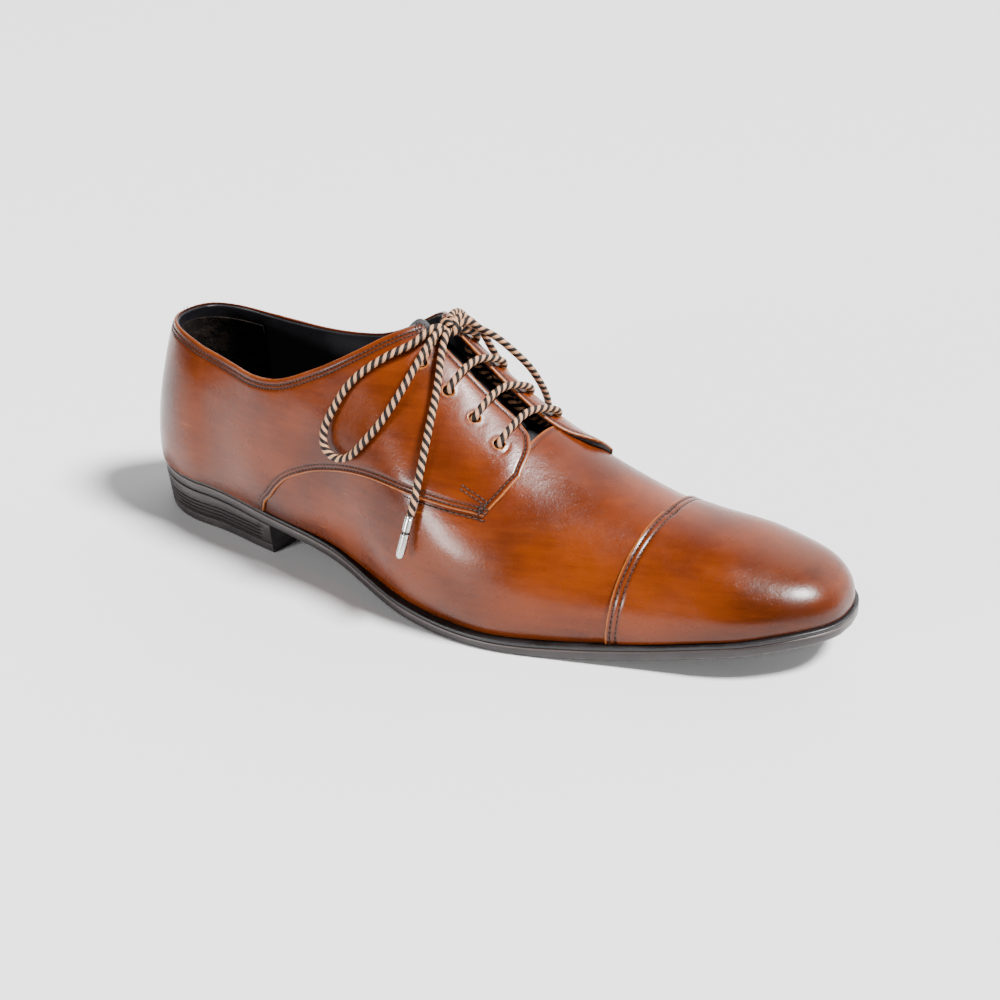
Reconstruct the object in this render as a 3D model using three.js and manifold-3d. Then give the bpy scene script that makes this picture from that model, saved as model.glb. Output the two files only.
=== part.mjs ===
// Cap-toe derby shoe, right foot. Millimetres, +X towards the toe, +Z up, lateral side at -Y.
// Every panel of the upper is an offset of one last surface, so panels, linings and sole share one shape.
import * as THREE from 'three';
import { mergeVertices } from 'three/addons/utils/BufferGeometryUtils.js';
import Module from 'manifold-3d';

// ---------------------------------------------------------------- driving dimensions
// The last is drawn once, as a pattern, and graded to these three sizes. Stations below, whose names end
// in _X, are places along the pattern last.
const LAST_LENGTH = 300;         // feather line, from the heel origin to the toe tip
const LAST_WIDTH = 85.5;         // across the ball of the foot
const LAST_HEIGHT = 99;          // of the instep above the feather line
const PATTERN = { length: 300, width: 85.5, height: 99 };
const GRADE = {
  x: LAST_LENGTH / PATTERN.length,
  y: LAST_WIDTH / PATTERN.width,
  z: LAST_HEIGHT / PATTERN.height,
};
const HEEL_CENTRE_X = 33;        // axis of the fan of sections that turns around the heel
const HEEL_ARC = 52;             // perimeter given to a quarter turn of the heel fan
const TOE_ROUND_X = 262;         // where the outline starts to close towards the toe tip
const TOE_ROUND_POWER = 2.3;
const TIP_ROUND_X = 272;         // where the height starts to close towards the toe tip
const TIP_ROUND_POWER = 2.4;

const GAP = 0.3;                 // clearance between pieces that touch
const PLY_GAP = 0.5;             // clearance between curved layers of the upper
const UPPER_LEATHER = 1.2;       // quarters, vamp and toe cap
const LINING_LEATHER = 1.0;
const STIFFENER = 1.1;           // toe puff and heel counter
const TONGUE_LEATHER = 1.2;
const GRIP_SUEDE = 0.9;

const WELT_THICKNESS = 1.6;
const OUTSOLE_THICKNESS = 3.7;
const OUTSOLE_MARGIN_TOE = 4.2;  // how far the sole stands out past the feather line
const OUTSOLE_MARGIN_HEEL = 1.6;
const WELT_WIDTH_INSIDE = 4.5;   // how far the welt reaches in under the upper
const INSOLE_BOARD = 2.0;
const SOCK_THICKNESS = 1.2;
const HEEL_BREAST_X = 72;
const HEEL_TAPER = 2.0;          // how far the heel's foot stands in from its seat
const TOP_PIECE_THICKNESS = 4.0;
const NAIL_RADIUS = 1.2;
const NAIL_HEAD_RADIUS = 2.4;
const SHANK_WIDTH = 14;
const SHANK_START_X = 58;
const SHANK_END_X = 148;

const LACE_DIAMETER = 3.0;
const LACE_RADIUS = LACE_DIAMETER / 2;
const LACE_HOLE_ROOM = 1.2;      // room all round the lace in its hole
const LACE_HOLE_RADIUS = LACE_RADIUS + LACE_HOLE_ROOM;
const EYELET_RIM = 1.2;          // width of the blind eyelet's ring
const AGLET_LENGTH = 17;
const AGLET_WALL = 0.25;
const AGLET_RADIUS = LACE_RADIUS + AGLET_WALL;
const AGLET_ROUND = 0.7;         // how far the aglet's end is rounded in
const TONGUE_ROOM = 1.2;         // room past a lace between the facings and the tongue

// Offsets of each layer from the last surface, inner face and outer face.
const LAYER = {
  stiffener: [0, STIFFENER],
  vamp: [0, UPPER_LEATHER],
  outer: [UPPER_LEATHER + PLY_GAP, 2 * UPPER_LEATHER + PLY_GAP],
  lining: [-PLY_GAP - LINING_LEATHER, -PLY_GAP],
};
LAYER.grip = [LAYER.lining[0] - GAP - GRIP_SUEDE, LAYER.lining[0] - GAP];
const tongueTop = LAYER.lining[0] - LACE_DIAMETER - TONGUE_ROOM;
LAYER.tongue = [tongueTop - TONGUE_LEATHER, tongueTop];
LAYER.tongueLining = [LAYER.tongue[0] - GAP - LINING_LEATHER, LAYER.tongue[0] - GAP];

// ---------------------------------------------------------------- smooth tables
// A smooth curve through a few [x, value] points, flat past its ends.
function table(points) {
  const x = points.map((p) => p[0]);
  const y = points.map((p) => p[1]);
  const step = (i) => x[i + 1] - x[i];
  const rise = (i) => (y[i + 1] - y[i]) / step(i);
  const slope = x.map((_, i) => {
    if (i === 0 || i === x.length - 1) return 0;
    return (rise(i - 1) * step(i) + rise(i) * step(i - 1)) / (step(i - 1) + step(i));
  });
  return (at) => {
    if (at <= x[0]) return y[0];
    if (at >= x[x.length - 1]) return y[y.length - 1];
    let i = 0;
    while (at > x[i + 1]) i += 1;
    const h = step(i);
    const t = (at - x[i]) / h;
    const t2 = t * t;
    const t3 = t2 * t;
    return (2 * t3 - 3 * t2 + 1) * y[i] + (t3 - 2 * t2 + t) * h * slope[i]
      + (3 * t2 - 2 * t3) * y[i + 1] + (t3 - t2) * h * slope[i + 1];
  };
}

// Straight lines through a few [x, value] points.
function polyline(points) {
  return (at) => {
    const i = Math.max(0, Math.min(points.length - 2, points.findIndex((p) => p[0] > at) - 1));
    const last = points[points.length - 1];
    if (at >= last[0]) return last[1];
    const t = (at - points[i][0]) / (points[i + 1][0] - points[i][0]);
    return points[i][1] + Math.max(0, t) * (points[i + 1][1] - points[i][1]);
  };
}

const clamp = (v, low, high) => Math.min(high, Math.max(low, v));
const mix = (a, b, t) => a + (b - a) * t;

// ---------------------------------------------------------------- the last
const SOLE_STACK = WELT_THICKNESS + GAP + OUTSOLE_THICKNESS;   // ground to feather line at the tread
const TREAD = SOLE_STACK + GAP;                                // where the last stands at the tread
const patternCentre = table([[33, 0], [90, -5], [150, -11], [200, -5.5], [250, 1.5], [300, 8.5]]);
const patternRise = table([[0, 15.9], [33, 15.4], [70, 13.4], [100, 9.4], [130, 4.4], [160, 0.3], [200, -0.2],
  [240, 3.7], [270, 9.2], [300, 13.7]]);
const centreLine = (x) => patternCentre(x / GRADE.x) * GRADE.y;
const featherHeight = (x) => SOLE_STACK + patternRise(x / GRADE.x) * GRADE.z;
const halfWidth = {
  lateral: table([[33, 32], [70, 34.5], [110, 32.5], [150, 40], [190, 45], [215, 40.5], [250, 34],
    [280, 30], [300, 27]]),
  medial: table([[33, 31], [70, 29.5], [110, 27.5], [150, 31.5], [190, 40.5], [215, 41.5], [250, 37],
    [280, 31.5], [300, 27]]),
};
const ridgeHeight = table([[33, 82], [70, 89], [100, 99], [120, 97], [140, 87.5], [170, 69], [200, 51],
  [230, 37], [260, 27], [285, 17], [300, 15]]);
const ridgeLean = table([[33, 0], [70, 0], [100, 2.5], [125, 6.5], [165, 6.5], [200, 3.5], [240, 0]]);
const lowerSwell = table([[33, 5], [70, 7], [110, 9], [150, 8], [190, 5], [240, 3], [270, 2.5], [300, 2]]);
const upperSwell = table([[33, -2], [70, 0], [110, 4], [150, 3], [190, 1], [240, -1], [300, -1]]);
const crownWidth = table([[33, 16], [70, 22], [110, 20], [140, 17], [170, 17], [200, 18], [240, 16],
  [300, 13]]);
const openTop = table([[33, 12], [60, 15], [85, 8], [110, 0]]);
const lowerRise = table([[33, 0.22], [110, 0.22], [190, 0.24], [300, 0.28]]);
const upperRise = table([[33, 0.66], [70, 0.7], [110, 0.7], [150, 0.76], [190, 0.8], [240, 0.84], [300, 0.86]]);
const crownRise = table([[33, 0.86], [90, 0.95], [120, 1]]);
const HEEL_BACK = [39, 39, 34.5, 25.5, 23];   // radii of the five profile controls at the heel's back

const closing = (x, start, power) =>
  (1 - clamp((x - start) / (PATTERN.length - start), 0, 1) ** power) ** (1 / power);

const TIP_LIMIT = 0.05;          // closer to the toe tip than this, the last faces straight ahead
const LEVEL_FOOT = 0.12;         // share of the profile over which the layers turn level above the welt
const REACH = HEEL_ARC + PATTERN.length - HEEL_CENTRE_X;   // perimeter from the heel's back to the toe tip
const alongX = (x) => HEEL_ARC + x - HEEL_CENTRE_X;      // perimeter of a station ahead of the heel fan
const stationOf = (run) => HEEL_CENTRE_X + run - HEEL_ARC;

// Point of the last at signed perimeter s (lateral negative) and profile position u, 0 feather to 1 ridge.
function lastPoint(s, u) {
  const side = s < 0 ? -1 : 1;
  const run = Math.abs(s);
  const x = Math.max(HEEL_CENTRE_X, HEEL_CENTRE_X + run - HEEL_ARC);
  const turn = clamp(run / HEEL_ARC, 0, 1) * Math.PI / 2;
  const inFan = run < HEEL_ARC;
  const round = closing(x, TOE_ROUND_X, TOE_ROUND_POWER);
  const height = ridgeHeight(x) * closing(x, TIP_ROUND_X, TIP_ROUND_POWER);
  const width = (side < 0 ? halfWidth.lateral : halfWidth.medial)(x) * round;
  const lean = ridgeLean(x) * round * side;
  const radii = [width, width + lowerSwell(x) * round, width + upperSwell(x) * round + 0.1 * lean,
    crownWidth(x) * round + 0.8 * lean, openTop(x) * round + lean];
  const rises = [0, lowerRise(x), upperRise(x), crownRise(x), 1].map((share) => share * height);
  const back = (k) => 1 / Math.hypot(Math.cos(turn) / HEEL_BACK[k], Math.sin(turn) / Math.max(radii[k], 1e-6));
  const blend = [1, 4, 6, 4, 1].map((c, k) => c * u ** k * (1 - u) ** (4 - k));
  const radius = blend.reduce((sum, b, k) => sum + b * (inFan ? back(k) : radii[k]), 0);
  const rise = blend.reduce((sum, b, k) => sum + b * rises[k], 0);
  const footX = inFan ? HEEL_CENTRE_X - back(0) * Math.cos(turn) : x;
  return new THREE.Vector3(
    (inFan ? HEEL_CENTRE_X - radius * Math.cos(turn) : x) * GRADE.x,
    (patternCentre(x) + side * radius * (inFan ? Math.sin(turn) : 1)) * GRADE.y,
    featherHeight(footX * GRADE.x) + GAP + rise * GRADE.z,
  );
}

// Outward direction of the last; level at the feather line, so that every layer stands on the welt.
function lastNormal(s, u) {
  if (REACH - Math.abs(s) < TIP_LIMIT) return new THREE.Vector3(1, 0, 0);
  const ds = Math.min(0.4, (REACH - Math.abs(s)) * 0.4);
  const du = 0.01;
  const along = lastPoint(s + ds, u).sub(lastPoint(s - ds, u));
  const up = lastPoint(s, Math.min(1, u + du)).sub(lastPoint(s, Math.max(0, u - du)));
  const normal = up.cross(along).normalize();
  normal.z *= clamp(u / LEVEL_FOOT, 0, 1);
  return normal.normalize();
}

// Point at a signed offset from the last. Both sides share the lateral side's ridge.
function offsetPoint(s, u, offset) {
  const at = u >= 1 ? -Math.abs(s) : s;
  return lastPoint(at, u).addScaledVector(lastNormal(at, u), offset);
}

// ---------------------------------------------------------------- closed bodies
// One closed mesh from points and triangles: shared points merged, flat triangles dropped, faces outward.
function body(points, triangles) {
  const index = new Map();
  const kept = [];
  const unique = points.map((p) => {
    const key = p.toArray().map((v) => Math.round(v * 1000)).join(',');
    if (!index.has(key)) {
      index.set(key, kept.length);
      kept.push(p);
    }
    return index.get(key);
  });
  const faces = triangles.map((t) => t.map((i) => unique[i]))
    .filter(([a, b, c]) => a !== b && b !== c && c !== a);
  const volume = faces.reduce((sum, [a, b, c]) =>
    sum + kept[a].dot(new THREE.Vector3().crossVectors(kept[b], kept[c])), 0);
  const outward = volume > 0 ? faces : faces.map(([a, b, c]) => [a, c, b]);
  const geometry = new THREE.BufferGeometry();
  geometry.setAttribute('position', new THREE.Float32BufferAttribute(kept.flatMap((p) => p.toArray()), 3));
  geometry.setIndex(outward.flat());
  geometry.computeVertexNormals();
  return geometry;
}

// A body through a row of closed rings of equal length, with flat ends, or closed on itself.
function loft(rings, closed = false) {
  const count = rings[0].length;
  const triangles = [];
  const spans = closed ? rings.length : rings.length - 1;
  for (let i = 0; i < spans; i += 1) {
    for (let j = 0; j < count; j += 1) {
      const a = i * count + j;
      const b = i * count + (j + 1) % count;
      const c = ((i + 1) % rings.length) * count + (j + 1) % count;
      const d = ((i + 1) % rings.length) * count + j;
      triangles.push([a, b, c], [a, c, d]);
    }
  }
  if (!closed) {
    const end = (rings.length - 1) * count;
    for (let j = 1; j < count - 1; j += 1) {
      triangles.push([0, j + 1, j], [end, end + j, end + j + 1]);
    }
  }
  return body(rings.flat(), triangles);
}

// A leather shell between two offsets of the last. A patch is a grid of [s, u] rows, s rising, u rising.
function shell(patches, [inner, outer]) {
  const index = new Map();
  const points = [];
  const skins = { inner: [], outer: [] };
  const vertex = ([s, u]) => {
    const p = offsetPoint(s, u, outer);
    const key = p.toArray().map((v) => Math.round(v * 1000)).join(',');
    if (!index.has(key)) {
      index.set(key, skins.outer.length);
      skins.outer.push(p);
      skins.inner.push(offsetPoint(s, u, inner));
    }
    return index.get(key);
  };
  const faces = [];
  for (const rows of patches) {
    for (let i = 0; i < rows.length - 1; i += 1) {
      for (let j = 0; j < rows[i].length - 1; j += 1) {
        const [a, b, c, d] = [rows[i][j], rows[i + 1][j], rows[i + 1][j + 1], rows[i][j + 1]].map(vertex);
        faces.push([a, d, c], [a, c, b]);
      }
    }
  }
  const real = faces.filter(([a, b, c]) => a !== b && b !== c && c !== a);
  const count = skins.outer.length;
  points.push(...skins.outer, ...skins.inner);
  const edges = new Set(real.flatMap(([a, b, c]) => [`${a},${b}`, `${b},${c}`, `${c},${a}`]));
  const triangles = real.flatMap(([a, b, c]) => [[a, b, c], [a + count, c + count, b + count]]);
  for (const edge of edges) {
    const [p, q] = edge.split(',').map(Number);
    if (!edges.has(`${q},${p}`)) triangles.push([q, p, p + count], [q, p + count, q + count]);
  }
  return body(points, triangles);
}

// ---------------------------------------------------------------- booleans
const wasm = await Module();
wasm.setup();

function toManifold(geometry) {
  const plain = geometry.clone();
  plain.deleteAttribute('normal');
  plain.deleteAttribute('uv');
  const merged = mergeVertices(plain, 1e-4);
  return new wasm.Manifold(new wasm.Mesh({
    numProp: 3,
    vertProperties: new Float32Array(merged.attributes.position.array),
    triVerts: new Uint32Array(merged.index.array),
  }));
}

function subtract(geometry, cutters) {
  const result = cutters.reduce((solid, cutter) => solid.subtract(toManifold(cutter)), toManifold(geometry));
  const mesh = result.getMesh();
  const cut = new THREE.BufferGeometry();
  cut.setAttribute('position', new THREE.BufferAttribute(new Float32Array(mesh.vertProperties), 3));
  cut.setIndex(new THREE.BufferAttribute(new Uint32Array(mesh.triVerts), 1));
  return cut;
}

// ---------------------------------------------------------------- materials and assembly
function finish(color, roughness, metalness = 0) {
  return new THREE.MeshStandardMaterial({ color, roughness, metalness });
}
const FINISH = {
  calf: finish(0x96481a, 0.28),
  edgeBlack: finish(0x171314, 0.5),
  soleBrown: finish(0x4a4042, 0.55),
  rubber: finish(0x2a2526, 0.7),
  lining: finish(0x17161a, 0.6),
  suede: finish(0x2b2624, 0.95),
  board: finish(0xa98a62, 0.85),
  cork: finish(0x9a7248, 0.9),
  fibre: finish(0xcbb894, 0.85),
  steel: finish(0x9fa3a8, 0.35, 1),
  lace: finish(0x6b5244, 0.85),
  silver: finish(0xb9bbbd, 0.25, 1),
};

const shoe = new THREE.Group();
function add(name, geometry, material) {
  const mesh = new THREE.Mesh(geometry, material);
  mesh.name = name;
  shoe.add(mesh);
}

// ---------------------------------------------------------------- bottom pieces
const margin = polyline([[0, OUTSOLE_MARGIN_HEEL], [alongX(80), OUTSOLE_MARGIN_HEEL],
  [alongX(150), OUTSOLE_MARGIN_TOE], [REACH, OUTSOLE_MARGIN_TOE]]);

// Point of the feather line moved out level by an amount. A margin keeps the height of its feather line.
function outline(s, out, z) {
  const foot = lastPoint(s, 0);
  const moved = foot.clone().addScaledVector(lastNormal(s, 0), out);
  return moved.setZ(z(out < 0 ? moved.x : foot.x));
}

// Perimeter stations from one run to another, closer together around the heel and the toe.
function runs(from, to, step) {
  const heel = [0, 0.05, 0.13, 0.24, 0.38, 0.54, 0.76, 1].map((t) => t * HEEL_ARC);
  const toeStart = alongX(TOE_ROUND_X);
  const toe = [0, 0.2, 0.4, 0.56, 0.7, 0.81, 0.9, 0.955, 0.985, 1].map((t) => mix(toeStart, REACH, t));
  const middle = [];
  for (let r = HEEL_ARC + step; r < toeStart - step / 2; r += step) middle.push(r);
  const inside = [...heel, ...middle, ...toe].filter((r) => r > from + 1 && r < to - 1);
  return [from, ...inside, to];
}

// A plate that follows the feather line; out, top and bottom are its margin and its two faces.
function plate(stations, outTop, outBottom, top, bottom) {
  return loft(stations.map((r) => [outline(-r, outTop(r), top), outline(r, outTop(r), top),
    outline(r, outBottom(r), bottom), outline(-r, outBottom(r), bottom)]));
}

const below = (drop) => (x) => featherHeight(x) - drop;
const outsoleTop = WELT_THICKNESS + GAP;
const SOLE_STEP = 14;
const SOLE_DRAFT = 0.4;          // how far the sole's lower edge stands in from its upper one

add('outsole', plate(runs(0, REACH, SOLE_STEP), margin, (r) => margin(r) - SOLE_DRAFT, below(outsoleTop),
  (x) => Math.max(0, featherHeight(x) - SOLE_STACK)), FINISH.soleBrown);

const weltRings = runs(0, REACH, SOLE_STEP).flatMap((r) => (r > 0 && r < REACH ? [r, -r] : [r]))
  .sort((a, b) => a - b);
add('welt', loft(weltRings.map((s) => {
  const out = margin(Math.abs(s));
  return [outline(s, out, below(0)), outline(s, out, below(WELT_THICKNESS)),
    outline(s, -WELT_WIDTH_INSIDE, below(WELT_THICKNESS)), outline(s, -WELT_WIDTH_INSIDE, below(0))];
}), true), FINISH.edgeBlack);

const heelRuns = runs(0, alongX(HEEL_BREAST_X), SOLE_STEP);
const heelSeat = featherHeight(0) - SOLE_STACK;
const heelOut = (z) => OUTSOLE_MARGIN_HEEL - HEEL_TAPER * (1 - z / heelSeat);
const liftTop = TOP_PIECE_THICKNESS + GAP;
const nailPlaces = [[6, 0], [20, -17], [20, 17], [46, -20], [46, 16]]
  .map(([x, y]) => [x * GRADE.x, y * GRADE.y]);
const boardTop = (x) => featherHeight(x) + GAP + INSOLE_BOARD;
const nailFoot = liftTop + 2;
const NAIL_HEAD = 0.9;
const NAIL_HEAD_SEAT = 1.2;      // depth of the head's underside below the top of the insole board

// A headed nail, or the hole that takes it with a clearance all round.
function nail(x, y, clearance) {
  const head = boardTop(x) - NAIL_HEAD_SEAT;
  const top = head + NAIL_HEAD + 4 * clearance;
  const profile = [[0, nailFoot - clearance], [NAIL_RADIUS + clearance, nailFoot - clearance],
    [NAIL_RADIUS + clearance, head - clearance], [NAIL_HEAD_RADIUS + clearance, head - clearance],
    [NAIL_HEAD_RADIUS + clearance, top], [0, top]];
  return new THREE.LatheGeometry(profile.map(([r, z]) => new THREE.Vector2(r, z)), 8)
    .rotateX(Math.PI / 2).translate(x, y, 0);
}
const nailHoles = nailPlaces.map(([x, y]) => nail(x, y, GAP));

shoe.getObjectByName('outsole').geometry = subtract(shoe.getObjectByName('outsole').geometry, nailHoles);
add('heel_block', subtract(plate(heelRuns, () => heelOut(heelSeat), () => heelOut(liftTop),
  below(SOLE_STACK + GAP), () => liftTop), nailHoles), FINISH.soleBrown);
add('heel_top_piece', plate(heelRuns, () => heelOut(TOP_PIECE_THICKNESS), () => heelOut(0),
  () => TOP_PIECE_THICKNESS, () => 0), FINISH.rubber);
nailPlaces.forEach(([x, y], i) => add(`heel_nail_${i + 1}`, nail(x, y, 0), FINISH.steel));

const fillerOut = () => -WELT_WIDTH_INSIDE - GAP;
const seatEnd = alongX(SHANK_START_X) - GAP;
const foreStart = alongX(SHANK_END_X) + GAP;
const fillerTip = REACH - WELT_WIDTH_INSIDE;
add('heel_seat_filler', subtract(plate(runs(0, seatEnd, SOLE_STEP), fillerOut, fillerOut, below(0),
  below(WELT_THICKNESS)), nailHoles), FINISH.fibre);
add('cork_filler', plate(runs(foreStart, fillerTip, SOLE_STEP), fillerOut, fillerOut, below(0),
  below(WELT_THICKNESS)), FINISH.cork);
const SHANK_TOP = 0.1;           // drop of the shank's two faces below the feather line
const SHANK_FOOT = 1.3;
const shankCorners = [[-1, SHANK_TOP], [1, SHANK_TOP], [1, SHANK_FOOT], [-1, SHANK_FOOT]];
const shankStations = [0, 0.2, 0.4, 0.6, 0.8, 1]
  .map((t) => mix(SHANK_START_X + 1, SHANK_END_X - 1, t) * GRADE.x);
add('shank', loft(shankStations.map((x) => shankCorners.map(([side, drop]) =>
  new THREE.Vector3(x, centreLine(x) + side * SHANK_WIDTH / 2, featherHeight(x) - drop)))), FINISH.steel);

const boardOut = () => LAYER.lining[0] - GAP - PLY_GAP;
const sockOut = () => boardOut() - 0.8;
add('insole_board', subtract(plate(runs(0, REACH - 2, SOLE_STEP), boardOut, boardOut, boardTop,
  (x) => featherHeight(x) + GAP), nailHoles), FINISH.board);
const sockBottom = (x) => boardTop(x) + GAP;
add('sock_liner', plate(runs(0, REACH - 4, SOLE_STEP), sockOut, sockOut,
  (x) => sockBottom(x) + SOCK_THICKNESS, sockBottom), FINISH.lining);

// ---------------------------------------------------------------- pattern lines of the upper
// Height of the top edge above the tread, by perimeter.
const toplineRise = {
  lateral: table([[0, 75.4], [41, 74.1], [57, 71.4], [73, 70.4], [85, 70.1], [97, 71.6], [113, 78.1],
    [126.5, 85.1], [134, 89.4], [140, 93.1], [146, 95.6], [155, 96.7]]),
  medial: table([[0, 75.4], [15, 75.1], [24, 73.6], [43, 70.1], [60, 69.1], [71, 68.7], [83, 69.1], [95, 70.8],
    [107, 73.6], [120, 79.6], [130, 85.6], [140, 91.6], [148, 95.4], [155, 96.7]]),
};
const FACING_TOP_X = 136;       // top corner of the facings
const facingEdge = { lateral: 0.9, medial: 0.965 };
const nose = { lateral: 184.8, medial: 197 };           // foremost point of each quarter
const corner = { lateral: 179, medial: 190 };           // lower front corner
const frontUpper = {                                     // front edge above the nose
  lateral: table([[165, 0.9], [175, 0.89], [180, 0.86], [183.2, 0.79], [nose.lateral, 0.7]]),
  medial: table([[172, 0.965], [182, 0.94], [190, 0.88], [195, 0.8], [nose.medial, 0.7]]),
};
const frontLower = {                                     // front edge from the corner to the nose
  lateral: polyline([[corner.lateral, 0.495], [182.2, 0.59], [nose.lateral, 0.69]]),
  medial: polyline([[corner.medial, 0.505], [194.4, 0.59], [nose.medial, 0.69]]),
};
const SEAM_START_X = 70.4;      // where the quarter's lower seam leaves the feather line
const seam = table([[SEAM_START_X, 0], [72.8, 0.07], [76.8, 0.115], [80.5, 0.16], [86, 0.206], [96.5, 0.255],
  [113, 0.31], [133, 0.37], [150.5, 0.412], [165, 0.453], [corner.lateral, 0.495], [corner.medial, 0.505]]);

// Profile position where the wall reaches a graded rise above the tread, less a drop.
function profileAt(s, rise, drop = 0) {
  const z = TREAD + rise * GRADE.z - drop;
  let low = 0;
  let high = 1;
  for (let i = 0; i < 24; i += 1) {
    const mid = (low + high) / 2;
    if (lastPoint(s, mid).z < z) {
      low = mid;
    } else {
      high = mid;
    }
  }
  return (low + high) / 2;
}

const name = (side) => (side < 0 ? 'lateral' : 'medial');
function quarterTop(side, run, drop = 0) {
  const x = stationOf(run);
  if (x > FACING_TOP_X) return frontUpper[name(side)](x);
  return Math.min(profileAt(side * run, toplineRise[name(side)](run), drop), facingEdge[name(side)]);
}
function quarterFoot(side, run) {
  const x = stationOf(run);
  if (x <= SEAM_START_X) return 0;
  return x <= corner[name(side)] ? seam(x) : frontLower[name(side)](x);
}

// Rows of [s, u] between two limits, in rising s whichever side it is on.
function rows(side, stations, low, high, columns) {
  const grid = stations.map((run) => Array.from({ length: columns + 1 },
    (_, j) => [side * run, mix(low(run), high(run), j / columns)]));
  return side < 0 ? grid.reverse() : grid;
}

const heelStations = [0, 0.13, 0.27, 0.42, 0.58, 0.76, 1].map((t) => t * HEEL_ARC);
const BACK_SEAM = GAP / 2;      // half the seam between the quarters at the heel
const SEAM_STATIONS = [SEAM_START_X, 72.4, 74.4, 79, 85, 92, 100, 108, 116, 124, 130, FACING_TOP_X,
  144, 152, 160, 168];
const throat = { lateral: 178, medial: 184 };   // where the vamp's tongue side starts, at the feather line

function quarterStations(side) {
  const front = nose[name(side)];
  const seamX = corner[name(side)];
  const last = side < 0 ? [174] : [175, 182];
  const end = [seamX, mix(seamX, front, 0.45), mix(seamX, front, 0.8), front - 0.2];
  const ahead = [40, 48, 56, 64, ...SEAM_STATIONS, ...last, ...end].map(alongX);
  return [BACK_SEAM, ...heelStations.slice(1), ...ahead];
}

// ---------------------------------------------------------------- lace holes
const RING_SIDES = 8;
const lacePlaces = {
  lateral: [[172.9, 0.75], [161.5, 0.765], [149.6, 0.77], [137.2, 0.775]],
  medial: [[178, 0.83], [166.3, 0.835], [154.4, 0.84], [142, 0.84]],
};
function alongNormal(side, [x, u], radius, from, to, hollow = 0) {
  const s = side * alongX(x);
  const base = offsetPoint(s, u, from);
  const direction = lastNormal(s, u);
  const length = to - from;
  const profile = hollow > 0
    ? [[hollow, 0], [radius, 0], [radius, length], [hollow, length], [hollow, 0]]
    : [[0, 0], [radius, 0], [radius, length], [0, length]];
  const turn = new THREE.Quaternion().setFromUnitVectors(new THREE.Vector3(0, 1, 0), direction);
  return new THREE.LatheGeometry(profile.map(([r, z]) => new THREE.Vector2(r, z)), RING_SIDES)
    .applyQuaternion(turn).translate(base.x, base.y, base.z);
}
const PUNCH_REACH = 3;          // how far a punch runs past the leather on both sides
const punch = (side) => lacePlaces[name(side)].map((place) =>
  alongNormal(side, place, LACE_HOLE_RADIUS, LAYER.lining[0] - PUNCH_REACH, LAYER.outer[1] + PUNCH_REACH));

// ---------------------------------------------------------------- upper panels
const LINING_DROP = 1;          // from the edge of a quarter down to the edge of its lining
const liningJoin = { lateral: 2, medial: 3 };    // from the end of a quarter's lining to the vamp's lining
for (const side of [-1, 1]) {
  const stations = quarterStations(side);
  const wall = rows(side, stations, (r) => quarterFoot(side, r), (r) => quarterTop(side, r), 6);
  const panel = shell([wall], LAYER.outer);
  add(`quarter_${name(side)}`, subtract(panel, punch(side)), FINISH.calf);
  const liningEnd = alongX(throat[name(side)] - liningJoin[name(side)]);
  const liningStations = stations.filter((r) => r < liningEnd - 3).concat(liningEnd);
  const liningWall = rows(side, liningStations, () => 0, (r) => quarterTop(side, r, LINING_DROP), 8);
  const liningPanel = shell([liningWall], LAYER.lining);
  add(`quarter_lining_${name(side)}`, subtract(liningPanel, punch(side)), FINISH.lining);
}

const COUNTER_RISE = { back: 60, front: 36 };    // height of the heel counter above the tread
const COUNTER_REACH = 95;
const counterTop = (run) =>
  profileAt(run, mix(COUNTER_RISE.back, COUNTER_RISE.front, clamp(run / COUNTER_REACH, 0, 1) ** 2));
const counterStations = [...heelStations, ...[40, 48, 56, 64].map(alongX)];
const bothSides = (stations, low, high, columns) => [
  rows(-1, stations, low, high, columns), rows(1, stations, low, high, columns)];
add('heel_counter', shell(bothSides(counterStations, () => 0, counterTop, 6), LAYER.stiffener), FINISH.fibre);

const GRIP_FOOT = 32;           // height of the heel grip's lower edge above the tread
const GRIP_DROP = 6;            // from the topline down to the heel grip
const gripStations = heelStations.slice(0, 6);
add('heel_grip', shell(bothSides(gripStations, () => profileAt(0, GRIP_FOOT),
  (r) => profileAt(r, toplineRise.medial(r), GRIP_DROP), 5), LAYER.grip), FINISH.suede);

const CAP_X = 229.4;            // toe cap line at the feather
const CAP_CROWN = 3;            // how far the cap line runs forward at the ridge
const CAP_OVERLAP = 8;          // leather of the vamp under the cap
const OVERLAP_U = 0.07;         // leather of the vamp under the quarter's seam
const WING_START_X = 67.5;      // where the vamp's wings end, behind the seam
const WING_END_U = 0.042;       // height of a wing's end

// Rows across the forepart from the lateral feather line over the ridge to the medial one.
function across(lines, columns) {
  return [-1, 1].map((side) => {
    const grid = lines.map((line) => Array.from({ length: columns + 1 }, (_, j) => {
      const u = j / columns;
      return [side * alongX(line(side, u)), u];
    }));
    return side < 0 ? grid.reverse() : grid;
  });
}

// A line that lies ahead on the medial side, by a share of how far the throat does.
const skew = (x, share) => (side, u) =>
  x + (throat.medial - throat.lateral) * share * (side < 0 ? u / 2 : 1 - u / 2);
const FORE_COLUMNS = 10;
const WING_COLUMNS = 6;         // columns of the forepart that run on into the wings
const vampLines = [[0, 1], [8, 0.85], [16, 0.65], [24, 0.45], [32, 0.25], [39, 0.1]]
  .map(([ahead, share]) => skew(throat.lateral + ahead, share));
const stationLine = (x) => () => x;
const capInset = (x) => (side, u) => x + CAP_CROWN * u;
const vampEnd = [CAP_X - 5.4, CAP_X - 1, CAP_X + CAP_OVERLAP].map(capInset);

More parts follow.
